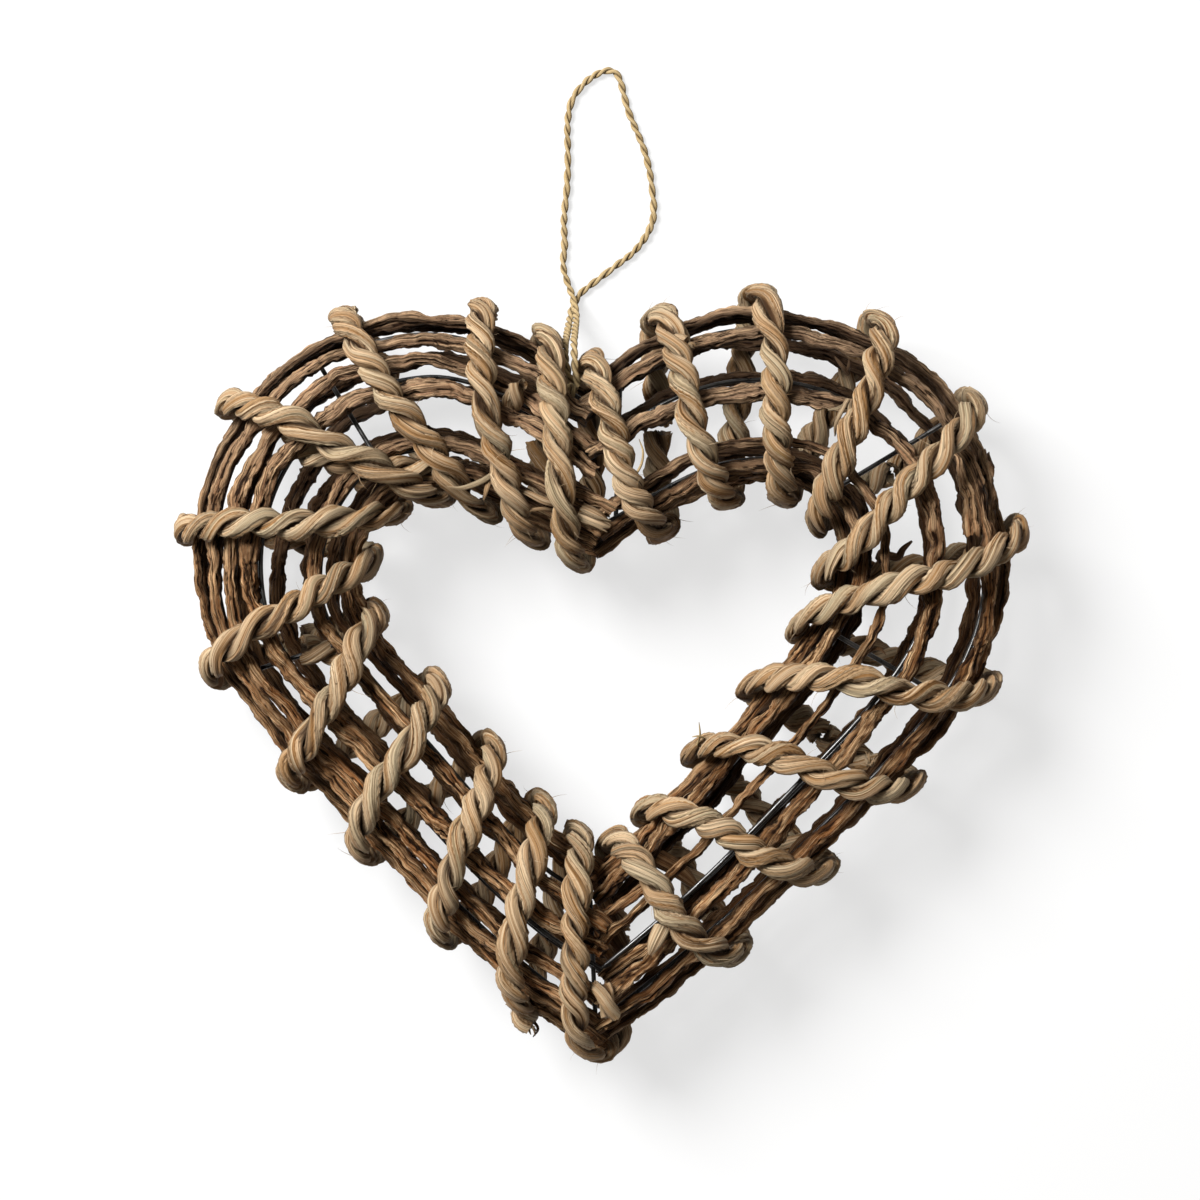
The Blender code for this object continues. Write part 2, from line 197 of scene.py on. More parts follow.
# %% Camera over the heart
PHOTO_PIXELS = 1200
PIXEL = 0.000357
HEART_PIXEL = (598.5, 668.5)
CAMERA_HEIGHT = 1.2
camera_data = bpy.data.cameras.new("camera")
camera = bpy.data.objects.new("camera", camera_data)
bpy.context.collection.objects.link(camera)
camera.location = (
    (PHOTO_PIXELS / 2 - HEART_PIXEL[0]) * PIXEL + PLACE.x,
    (HEART_PIXEL[1] - PHOTO_PIXELS / 2) * PIXEL + PLACE.y,
    CAMERA_HEIGHT,
)
camera_data.lens = camera_data.sensor_width * CAMERA_HEIGHT / (PHOTO_PIXELS * PIXEL)
bpy.context.scene.camera = camera
print("the lens is", round(camera_data.lens, 1), "mm long")

# %% [markdown]
# ## Writing node trees
# Geometry Nodes and materials are both trees of nodes. Clicking them together is quick, but a script
# can be read and changed line by line. This small helper adds a node, gives it its settings, and
# fills its sockets in order with either a value or a link from another node.

# %% A helper that writes trees
class Tree:
    """A node tree, written one node at a time."""

    def __init__(self, tree):
        self.tree = tree

    def add(self, kind, *values, out=0, **settings):
        """Adds a node and returns one of its outputs."""
        node = self.tree.nodes.new(kind)
        for name, value in settings.items():
            setattr(node, name, value)
        for socket, value in zip([s for s in node.inputs if s.enabled], values):
            if isinstance(value, bpy.types.NodeSocket):
                self.tree.links.new(value, socket)
            elif value is not None:
                socket.default_value = value
        return [s for s in node.outputs if s.enabled][out]

    def math(self, operation, *values):
        """A Math node."""
        return self.add("ShaderNodeMath", *values, operation=operation)

    def vector(self, operation, *values):
        """A Vector Math node. DOT_PRODUCT gives a number, and the rest give a vector."""
        return self.add("ShaderNodeVectorMath", *values, operation=operation)

    def join(self, x, y, z):
        """A vector from three numbers."""
        return self.add("ShaderNodeCombineXYZ", x, y, z)

    def noise(self, place, scale, detail=2.0, roughness=0.5):
        """Smooth random values from 0 to 1."""
        return self.add("ShaderNodeTexNoise", place, scale, detail, roughness)

    def spread(self, value, low, high, to_low=0.0, to_high=1.0):
        """Stretches one range of values over another, and stops at its ends."""
        return self.add("ShaderNodeMapRange", value, low, high, to_low, to_high)


class Recipe(Tree):
    """A Geometry Nodes tree with named inputs."""

    def __init__(self, name, **inputs):
        super().__init__(bpy.data.node_groups.new(name, "GeometryNodeTree"))
        kinds = {int: "NodeSocketInt", float: "NodeSocketFloat", object: "NodeSocketMaterial"}
        interface = self.tree.interface
        interface.new_socket("Geometry", in_out="INPUT", socket_type="NodeSocketGeometry")
        interface.new_socket("Geometry", in_out="OUTPUT", socket_type="NodeSocketGeometry")
        for label, kind in inputs.items():
            interface.new_socket(label, in_out="INPUT", socket_type=kinds[kind])
        node = self.tree.nodes.new("NodeGroupInput")
        self.given = {socket.name: socket for socket in node.outputs}

    def read(self, name, kind="FLOAT"):
        """A named attribute of the geometry."""
        return self.add("GeometryNodeInputNamedAttribute", name, data_type=kind)

    def store(self, geometry, name, value, kind="FLOAT"):
        """The geometry with a value kept on each of its points under a name."""
        return self.add(
            "GeometryNodeStoreNamedAttribute", geometry, True, name, value, data_type=kind, domain="POINT"
        )

    def finish(self, geometry):
        """Ends the tree: smooth shading, real geometry, pressed flat on the floor, and the material."""
        geometry = self.add("GeometryNodeSetShadeSmooth", geometry, True, True)
        geometry = self.add("GeometryNodeRealizeInstances", geometry)
        x, y, z = self.add("ShaderNodeSeparateXYZ", self.add("GeometryNodeInputPosition")).node.outputs
        place = self.join(x, y, self.math("MAXIMUM", z, 0.0))
        geometry = self.add("GeometryNodeSetPosition", geometry, True, place)
        geometry = self.add("GeometryNodeSetMaterial", geometry, True, self.given["Material"])
        output = self.tree.nodes.new("NodeGroupOutput")
        self.tree.links.new(geometry, output.inputs[0])
        return self.tree


def make_piece(name, rail, tree, material, **values):
    """Runs a recipe on a rail and keeps the result as a plain mesh piece on the heart's body."""
    piece = bpy.data.objects.new(name, rail)
    bpy.context.collection.objects.link(piece)
    modifier = piece.modifiers.new("build", "NODES")
    modifier.node_group = tree
    values["Material"] = material
    for item in tree.interface.items_tree:
        if item.in_out == "INPUT" and item.name in values:
            modifier[item.identifier] = values[item.name]
    view_layer = bpy.context.evaluated_depsgraph_get()
    made = piece.evaluated_get(view_layer)
    mesh = bpy.data.meshes.new_from_object(made, preserve_all_data_layers=True, depsgraph=view_layer)
    piece.modifiers.remove(modifier)
    piece.data = mesh
    bpy.data.meshes.remove(rail)
    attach(piece, "root")
    return piece


def make_rail(lines, closed=False, **attributes):
    """Lines of points that carry named values, for a recipe to build along."""
    edges = []
    first = 0
    for line in lines:
        last = first + len(line) - 1
        edges += [(n, n + 1) for n in range(first, last)] + ([(last, first)] if closed else [])
        first = last + 1
    rail = bpy.data.meshes.new("rail")
    rail.from_pydata([tuple(point) for line in lines for point in line], edges, [])
    for name, values in attributes.items():
        flat = np.array([tuple(v) if isinstance(v, Vector) else v for v in values], np.float32)
        kind, key = ("FLOAT_VECTOR", "vector") if flat.ndim > 1 else ("FLOAT", "value")
        rail.attributes.new(name, kind, "POINT").data.foreach_set(key, flat.ravel())
    return rail


def lengths(points):
    """The distance travelled along a line at each of its points."""
    steps = [0.0] + [(b - a).length for a, b in zip(points, points[1:])]
    return list(np.cumsum(steps))


print("helpers are ready")

# %% [markdown]
# ## Recipe: a laid rope
# Both the grass rope and the twine are laid: two strands turn round each other. One bulge could be
# modelled and repeated, but then every bulge is the same. Here each strand is a line that circles the
# rope's own line, with a tube swept along it. The tube gets the grooves between its grass blades, and
# values for the material: the grain's direction, the place across a blade, a tone for each blade, and
# how far a point lies from the rope's middle. The finishes use the last two for painted shade in the
# grooves between blades and between the strands. Last, the whole rope is pressed to its oval section,
# as it is where it is pulled tight over an edge.

# %% The laid rope tree
def laid_rope_recipe():
    """Strands laid round a rail that carries outward, run, deep and wide."""
    r = Recipe(
        "Laid rope", Strands=int, Lay=float, Radius=float, Share=float, Sides=int, Blades=float,
        Groove=float, Turn=float, Wander=float, Fine=float, Seed=float, Material=object,
    )
    given = r.given
    here = r.add("GeometryNodeInputPosition")
    ahead = r.add("GeometryNodeInputTangent")
    side = r.vector("NORMALIZE", r.vector("CROSS_PRODUCT", ahead, r.read("outward", "FLOAT_VECTOR")))
    outward = r.vector("NORMALIZE", r.vector("CROSS_PRODUCT", side, ahead))
    run = r.read("run")
    curve = r.add("GeometryNodeMeshToCurve", given["Geometry"])
    curve = r.store(curve, "side", side, "FLOAT_VECTOR")
    curve = r.store(curve, "outward", outward, "FLOAT_VECTOR")
    side, outward = r.read("side", "FLOAT_VECTOR"), r.read("outward", "FLOAT_VECTOR")
    drift = r.math("SUBTRACT", r.noise(r.join(run, 0.5, given["Seed"]), 30.0, 1.0), 0.5)
    drift = r.vector("SCALE", side, r.math("MULTIPLY", drift, given["Wander"]))
    curve = r.add("GeometryNodeSetPosition", curve, True, None, drift)
    curve = r.store(curve, "middle", here, "FLOAT_VECTOR")
    copies = r.tree.nodes.new("GeometryNodeDuplicateElements")
    copies.domain = "SPLINE"
    r.tree.links.new(curve, copies.inputs["Geometry"])
    r.tree.links.new(given["Strands"], copies.inputs["Amount"])
    curve = r.store(copies.outputs["Geometry"], "strand", copies.outputs["Duplicate Index"])
    strand = r.read("strand")
    turns = r.math("DIVIDE", strand, given["Strands"])
    turns = r.math("SUBTRACT", turns, r.math("DIVIDE", run, given["Lay"]))
    turns = r.math("MULTIPLY_ADD", r.noise(r.join(run, 3.5, given["Seed"]), 20.0, 2.0), 1.5, turns)
    angle = r.math("MULTIPLY", turns, math.tau)
    circle = r.vector(
        "ADD",
        r.vector("SCALE", outward, r.math("COSINE", angle)),
        r.vector("SCALE", side, r.math("SINE", angle)),
    )
    reach = r.math("MULTIPLY", given["Radius"], r.math("SUBTRACT", 1.0, given["Share"]))
    curve = r.add("GeometryNodeSetPosition", curve, True, None, r.vector("SCALE", circle, reach))

    profile = r.add("GeometryNodeCurvePrimitiveCircle", given["Sides"], 1.0)
    around = r.math("MULTIPLY", r.add("GeometryNodeSplineParameter"), math.tau)
    profile = r.store(profile, "around", around)
    radius = r.math("MULTIPLY", given["Radius"], given["Share"])
    swell = r.noise(r.join(run, r.math("ADD", strand, 7.0), given["Seed"]), 64.0, 1.0)
    size = r.math("MULTIPLY", radius, r.spread(swell, 0.25, 0.75, 0.75, 1.22))
    mesh = r.add("GeometryNodeCurveToMesh", curve, profile, size, True)

    turned = r.math("DIVIDE", r.math("MULTIPLY", run, math.tau), given["Turn"])
    turned = r.math("ADD", r.read("around"), turned)
    wander = r.noise(r.join(run, r.math("ADD", strand, 3.0), given["Seed"]), 45.0, 1.0)
    turned = r.math("MULTIPLY_ADD", wander, 3.0, turned)
    uneven = r.join(r.math("COSINE", turned), r.math("SINE", turned), r.math("MULTIPLY", run, 30.0))
    uneven = r.math("MULTIPLY_ADD", r.noise(uneven, 1.0, 1.0), 4.0, turned)
    blades = r.math("MULTIPLY", uneven, r.math("DIVIDE", given["Blades"], math.tau))
    blade = r.math("FRACT", blades)
    which = r.math("FLOORED_MODULO", r.math("FLOOR", blades), given["Blades"])
    blade = r.math("MULTIPLY", blade, r.spread(blade, 0.86, 1.0, 1.0, 0.0))
    along = r.math("MULTIPLY_ADD", strand, 13.7, r.math("MULTIPLY", run, 40.0))
    grain = r.join(r.math("COSINE", turned), r.math("SINE", turned), r.math("ADD", along, given["Seed"]))
    height = r.math("MULTIPLY", r.math("SUBTRACT", blade, 0.5), given["Groove"])
    fine = r.math("SUBTRACT", r.noise(r.vector("MULTIPLY", grain, (1.0, 1.0, 0.4)), 2.5, 3.0), 0.5)
    height = r.math("MULTIPLY_ADD", fine, given["Fine"], height)
    lift = r.vector("SCALE", r.add("GeometryNodeInputNormal"), r.math("MULTIPLY", height, radius))
    mesh = r.store(mesh, "grain", grain, "FLOAT_VECTOR")
    mesh = r.store(mesh, "blade", blade)
    which = r.math("MULTIPLY_ADD", which, 0.37, r.math("MULTIPLY", strand, 5.0))
    mesh = r.store(mesh, "tone", r.noise(r.join(run, which, given["Seed"]), 25.0, 1.0))
    mesh = r.add("GeometryNodeSetPosition", mesh, True, None, lift)
    # How far a point lies from the rope's middle: the finishes paint shade where it is small, between the
    # strands.
    away = r.vector("SUBTRACT", here, r.read("middle", "FLOAT_VECTOR"))
    reach = r.math("DIVIDE", r.add("ShaderNodeVectorMath", away, operation="LENGTH"), given["Radius"])
    mesh = r.store(mesh, "reach", reach)
    deep = r.math("SUBTRACT", r.math("DIVIDE", r.read("deep"), given["Radius"]), 1.0)
    wide = r.math("SUBTRACT", r.math("DIVIDE", r.read("wide"), given["Radius"]), 1.0)
    press = r.vector(
        "ADD",
        r.vector("SCALE", outward, r.math("MULTIPLY", r.vector("DOT_PRODUCT", away, outward), deep)),
        r.vector("SCALE", side, r.math("MULTIPLY", r.vector("DOT_PRODUCT", away, side), wide)),
    )
    return r.finish(r.add("GeometryNodeSetPosition", mesh, True, None, press))


laid_rope = laid_rope_recipe()
print("the laid rope tree has", len(laid_rope.nodes), "nodes")

# %% [markdown]
# ## Finishes are trees too
# A finish could be painted as an image, but an image has one size and shows its seams. These finishes
# are computed from values that the pieces carry, so streaks follow each blade and each vine. The
# helper below starts a material, and ends it with colour, roughness and a bump.

# %% A helper for finishes
def colour(text):
    """A colour written as on a paint card, for a shader."""
    parts = [int(text[n : n + 2], 16) / 255 for n in (0, 2, 4)]
    return (*(p / 12.92 if p <= 0.04045 else ((p + 0.055) / 1.055) ** 2.4 for p in parts), 1.0)


class Finish(Tree):
    """A material with one shader."""

    def __init__(self, name):
        self.material = bpy.data.materials.new(name)
        self.material.use_nodes = True
        super().__init__(self.material.node_tree)
        self.shader = self.tree.nodes["Principled BSDF"]

    def read(self, name, out=2):
        """A value that the piece carries: out 1 for a vector and 2 for a number."""
        return self.add("ShaderNodeAttribute", attribute_name=name, out=out)

    def place(self):
        """Where a point lies in the object's own frame."""
        return self.add("ShaderNodeTexCoord", out=3)

    def ramp(self, value, *stops):
        """Colours along a value, from pairs of a place and a colour."""
        node = self.tree.nodes.new("ShaderNodeValToRGB")
        elements = node.color_ramp.elements
        while len(elements) < len(stops):
            elements.new(1.0)
        for element, (place, text) in zip(elements, stops):
            element.position = place
            element.color = colour(text)
        self.tree.links.new(value, node.inputs["Fac"])
        return node.outputs["Color"]

    def mix(self, factor, first, second):
        """Two colours mixed."""
        first = colour(first) if isinstance(first, str) else first
        second = colour(second) if isinstance(second, str) else second
        return self.add("ShaderNodeMix", factor, first, second, data_type="RGBA")

    def finish(self, base, roughness, height=None, depth=0.0003):
        """Links colour, roughness and bump to the shader."""
        self.tree.links.new(base, self.shader.inputs["Base Color"])
        if isinstance(roughness, bpy.types.NodeSocket):
            self.tree.links.new(roughness, self.shader.inputs["Roughness"])
        else:
            self.shader.inputs["Roughness"].default_value = roughness
        if height is not None:
            bump = self.tree.nodes.new("ShaderNodeBump")
            bump.inputs["Strength"].default_value = 1.0
            bump.inputs["Distance"].default_value = depth
            self.tree.links.new(height, bump.inputs["Height"])
            self.tree.links.new(bump.outputs["Normal"], self.shader.inputs["Normal"])
        return self.material


print("finish helper is ready")

# %% [markdown]
# ## Jute twine
# The hanging loop is a pale two-strand jute twine, a little fuzzy and dry. It is limp, so it drops
# from the cleft to the floor and lies flat there, and it crosses over itself just above the cleft. It
# could be a plain round tube, but its strands show even at this size, so it uses the laid rope recipe.

# %% Jute finish
def jute_finish():
    """Pale dry fibres, with painted shade in the gaps between the strands."""
    m = Finish("jute_twine")
    grain = m.read("grain", 1)
    streaks = m.noise(grain, 5.0, 4.0, 0.7)
    base = m.ramp(streaks, (0.28, "5a482d"), (0.45, "847150"), (0.6, "9e8c6b"), (0.75, "b3a486"))
    base = m.mix(m.spread(m.read("tone"), 0.35, 0.7, 0.0, 0.35), base, "745f38")
    # Painted shade near the twine's middle, in the gaps between its strands.
    base = m.mix(m.spread(m.read("reach"), 0.8, 0.45, 0.0, 0.8), base, "3a2a15")
    m.shader.inputs["Specular IOR Level"].default_value = 0.15
    return m.finish(base, m.spread(streaks, 0.2, 0.8, 0.95, 0.7), streaks, 0.00015)


jute = jute_finish()
print("jute finish is ready")

# %% The loop's route, in metres
TWINE_DIAMETER = 0.0023
TWINE_SPACING = 0.0006
ROUTE_PARTS = 8
LOOP_ROUTE = (
    (-0.0092, 0.0994, 0.0474),
    (-0.0104, 0.1024, 0.0488),
    (-0.0112, 0.1060, 0.0482),
    (-0.0115, 0.1100, 0.0435),
    (-0.0114, 0.1135, 0.0350),
    (-0.0111, 0.1170, 0.0245),
    (-0.0107, 0.1212, 0.0132),
    (-0.0102, 0.1248, 0.0062),
    (-0.0094, 0.1285, 0.0024),
    (-0.0080, 0.1313, 0.0013),
    (-0.0053, 0.1348, 0.0013),
    (0.0048, 0.1425, 0.0013),
    (0.0126, 0.1485, 0.0013),
    (0.0175, 0.1553, 0.0013),
    (0.0195, 0.1611, 0.0013),
    (0.0193, 0.1696, 0.0013),
    (0.0166, 0.1839, 0.0013),
    (0.0105, 0.1989, 0.0013),
    (0.0073, 0.2106, 0.0013),
    (0.0038, 0.2132, 0.0013),
    (-0.0009, 0.2118, 0.0013),
    (-0.0055, 0.2082, 0.0013),
    (-0.0095, 0.2025, 0.0013),
    (-0.0111, 0.1939, 0.0013),
    (-0.0109, 0.1778, 0.0013),
    (-0.0123, 0.1611, 0.0013),
    (-0.0121, 0.1511, 0.0013),
    (-0.0126, 0.1435, 0.0014),
    (-0.0110, 0.1375, 0.0024),
    (-0.0094, 0.1332, 0.0042),
    (-0.0084, 0.1292, 0.0068),
    (-0.0079, 0.1254, 0.0112),
    (-0.0080, 0.1210, 0.0200),
    (-0.0083, 0.1175, 0.0305),
    (-0.0085, 0.1138, 0.0405),
    (-0.0084, 0.1100, 0.0466),
    (-0.0081, 0.1060, 0.0492),
    (-0.0077, 0.1020, 0.0492),
    (-0.0069, 0.0979, 0.0474),
)


def smooth_route(route, spacing):
    """Points about a spacing apart on a smooth curve through a route's own points."""
    fine = []
    for index, (start, end) in enumerate(zip(route, route[1:])):
        before = route[index - 1] if index else 2 * start - end
        after = route[index + 2] if index + 2 < len(route) else 2 * end - start
        fine += [smooth(before, start, end, after, part / ROUTE_PARTS) for part in range(ROUTE_PARTS)]
    fine.append(route[-1])
    travelled = lengths(fine)
    wanted = np.linspace(0, travelled[-1], round(travelled[-1] / spacing) + 1)
    columns = [np.interp(wanted, travelled, [point[axis] for point in fine]) for axis in range(3)]
    return [Vector(row) for row in np.stack(columns, 1)]


loop_points = smooth_route([Vector(point) + PLACE for point in LOOP_ROUTE], TWINE_SPACING)

# %% The hanging loop
def any_outward(points):
    """A direction across a line at each of its points, which turns as little as it can."""
    found = []
    across = Vector((0.3, 0.2, 1.0))
    for index in range(len(points)):
        along = (points[min(index + 1, len(points) - 1)] - points[max(index - 1, 0)]).normalized()
        across = (across - along * across.dot(along)).normalized()
        found.append(across)
    return found


def make_laid(name, line, outward, half_deep, half_wide, material, **values):
    """A laid rope along a line, with its half thickness and half width at each point."""
    rail = make_rail([line], outward=outward, run=lengths(line), deep=half_deep, wide=half_wide)
    return make_piece(name, rail, laid_rope, material, **values)


TWINE_FULLNESS = 1.15
TWINE = dict(
    Strands=2, Lay=0.0095, Radius=TWINE_DIAMETER / 2 * TWINE_FULLNESS, Share=0.56, Sides=10, Blades=3.0,
    Groove=0.16, Turn=0.02, Wander=0.0008, Fine=0.30, Seed=4.0,
)


def make_twine(name, line):
    """Round twine along a line."""
    half = [TWINE["Radius"]] * len(line)
    return make_laid(name, line, any_outward(line), half, half, jute, **TWINE)


hanging_twine = make_twine("hanging_twine", loop_points)
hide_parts("hanging_loop")
print(hanging_twine.name, len(hanging_twine.data.polygons), "faces")

# %% The knot: turns of twine round the outer wire
KNOT_PLACE = 0.32
KNOT_HALF_WIDTH = 0.0026
KNOT_TURNS = 2.5
KNOT_FIRST_TURN = 0.15
KNOT_STEPS = 90
KNOT_UNEVEN = 0.0004
KNOT_SLANT = 0.0003
knot_start, knot_end = (ring[n] + PLACE for n in (0, 1))
knot_centre = knot_start.lerp(knot_end, KNOT_PLACE)
knot_axis = (knot_end - knot_start).normalized()
knot_side = knot_axis.cross(Vector((0, 0, 1))).normalized()
knot_up = knot_axis.cross(knot_side)
knot_line = []
for step in range(KNOT_STEPS):
    share = step / (KNOT_STEPS - 1)
    angle = math.tau * (KNOT_TURNS * share + KNOT_FIRST_TURN)
    radius = WIRE_DIAMETER / 2 + CLEARANCE + TWINE_DIAMETER / 2
    radius += KNOT_UNEVEN * math.sin(7 * share)
    shift = (share - 0.5) * 2 * (KNOT_HALF_WIDTH - TWINE_DIAMETER / 2) + KNOT_SLANT * math.sin(angle)
    around = (knot_side * math.cos(angle) + knot_up * math.sin(angle)) * radius
    knot_line.append(knot_centre + around + knot_axis * shift)
twine_knot = make_twine("twine_knot", knot_line)
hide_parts("loop_knot")
print(twine_knot.name, len(twine_knot.data.polygons), "faces")

# %% [markdown]
# ## Grass rope
# The binding is a thick rope of two strands of dried grass. It goes over the front of the heart,
# round an edge and back behind, twenty-one times. It could be an array of bent pieces, but a rope is
# one line: its turns are stated by the stations where they cross the inner edge, the front and the
# outer edge, and a smooth line through those carries the laid rope recipe. It is pressed flat at the
# edges, and each strand is a bundle of flat blades, tan and straw with brown and grey-green patches.

# %% Grass finish
def grass_finish():
    """Dried grass blades: long streaks, patches of straw and grey-green, and painted shade in the brown
    creases and between the strands.
    """
    m = Finish("grass_rope")
    grain = m.read("grain", 1)
    reach = m.read("reach")
    blade = m.read("blade")
    tints = m.noise(m.vector("MULTIPLY", grain, (1.0, 1.0, 0.12)), 2.2, 2.0, 0.5)
    streaks = m.noise(m.vector("MULTIPLY", grain, (1.0, 1.0, 0.10)), 8.0, 4.0, 0.68)
    lines = m.noise(m.vector("MULTIPLY", grain, (1.0, 1.0, 0.05)), 4.5, 2.0, 0.5)
    lines = m.spread(m.math("ABSOLUTE", m.math("SUBTRACT", lines, 0.5)), 0.0, 0.03)
    base = m.ramp(
        tints, (0.30, "4d3419"), (0.40, "745330"), (0.48, "8e7254"), (0.56, "a08b6f"), (0.66, "74644b")
    )
    base = m.mix(m.spread(m.read("tone"), 0.50, 0.64, 0.0, 0.6), base, "7d5a33")
    base = m.mix(m.spread(m.read("tone"), 0.46, 0.34, 0.0, 0.6), base, "8a8068")
    base = m.mix(m.spread(streaks, 0.34, 0.48, 0.55, 0.0), base, "51361a")
    base = m.mix(m.spread(streaks, 0.52, 0.64, 0.0, 0.6), base, "a8977e")
    base = m.mix(m.spread(blade, 0.30, 0.86, 0.0, 0.30), base, "a69277")
    base = m.mix(m.spread(lines, 0.0, 1.0, 0.60, 0.0), base, "341c08")
    # Painted shade in the groove between blades, over their darker edges.
    base = m.mix(m.spread(blade, 0.13, 0.02, 0.0, 0.85), base, "281203")
    # Painted shade near the rope's middle, where the strands meet.
    base = m.mix(m.spread(reach, 0.74, 0.48, 0.0, 0.88), base, "1c0c02")
    roughness = m.spread(streaks, 0.3, 0.7, 0.70, 0.48)
    height = m.math("MULTIPLY_ADD", lines, 0.6, streaks)
    m.shader.inputs["Specular IOR Level"].default_value = 0.08
    return m.finish(base, roughness, height, 0.0005)


grass = grass_finish()
print("grass finish is ready")

# %% The rope's turns and lengths
ROPE_TURNS = (
    (0.20, 0.52, 0.70),
    (0.94, 1.46, 1.42),
    (1.64, 2.69, 2.90),
    (2.50, 3.98, 4.52),
    (3.80, 5.45, 5.88),
    (5.34, 6.83, 7.34),
    (7.20, 8.12, 8.42),
    (8.50, 8.78, 9.04),
    (9.20, 9.47, 9.70),
    (9.84, 10.06, 10.38),
    (10.42, 10.68, 11.00),
    (11.42, 11.86, 12.26),
    (11.96, 12.57, 12.96),
    (12.62, 13.26, 13.70),
    (13.34, 14.10, 14.72),
    (14.20, 15.64, 16.26),
    (15.36, 16.99, 17.48),
    (17.06, 18.21, 18.66),
    (18.40, 19.43, 19.86),
    (19.78, 20.56, 20.90),
    (21.04, 21.62, 21.80),
)
ROPE_LENGTHS = {
    "rope_left_lobe": (1, 5),
    "rope_left_arm": (6, 5),
    "rope_right_arm": (11, 3),
    "rope_right_side": (14, 3),
    "rope_right_lobe": (17, 3),
    "rope_cleft": (20, 2),
}
BEFORE_INNER_EDGE = 0.25


def rope_station(progress):
    """The rope's station at a progress in turns, on a smooth line through its stated stations."""
    knots = []
    count = len(ROPE_TURNS)
    for turn in range(int(progress) - 2, int(progress) + 4):
        inner, front, outer = (s + CLEFT * (turn // count) for s in ROPE_TURNS[turn % count])
        following = turn + 1
        next_inner = ROPE_TURNS[following % count][0] + CLEFT * (following // count)
        knots += [(turn, inner), (turn + 0.25, front), (turn + 0.5, outer)]
        knots.append((turn + 0.75, (outer + next_inner) / 2))
    index = bisect.bisect_right([knot[0] for knot in knots], progress) - 1
    before, start, end, after = (knot[1] for knot in knots[index - 1 : index + 3])
    return smooth(before, start, end, after, (progress - knots[index][0]) * 4)


def rope_point(progress):
    """The rope's centre, outward direction and thickness at a progress in turns."""
    angle = math.pi - math.tau * progress
    thickness = ROPE_EDGE_THICKNESS
    thickness += (ROPE_THICKNESS - ROPE_EDGE_THICKNESS) * abs(math.sin(angle))
    point, normal = tube_point(rope_station(progress), angle, ROPE_STANDOFF + thickness / 2)
    return point + PLACE, normal, thickness


print(len(ROPE_TURNS), "turns in", len(ROPE_LENGTHS), "lengths")

# %% The six lengths of grass rope
ROPE_HALF_WIDTH = ROPE_WIDTH / 2 * 1.02
ROPE_FULLNESS = 1.06
ROPE_END_GAP = 0.004
ROPE_STEPS_PER_TURN = 150
ROPE = dict(
    Strands=2, Lay=0.0225, Radius=ROPE_HALF_WIDTH, Share=0.54, Sides=28, Blades=4.0, Groove=0.44,
    Turn=0.075, Wander=0.0034, Fine=0.44,
)
for number, (name, (first_turn, turns)) in enumerate(ROPE_LENGTHS.items()):
    start = first_turn - BEFORE_INNER_EDGE + ROPE_END_GAP
    steps = ROPE_STEPS_PER_TURN * turns
    found = [rope_point(start + (turns - 2 * ROPE_END_GAP) * step / steps) for step in range(steps + 1)]
    points, outward, thickness = (list(values) for values in zip(*found))
    piece = make_laid(
        f"{name}_grass", points, outward, [t / 2 * ROPE_FULLNESS for t in thickness],
        [ROPE_HALF_WIDTH] * len(points), grass, Seed=11.0 * number, **ROPE,
    )
    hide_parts(name)
    print(piece.name, len(piece.data.polygons), "faces")
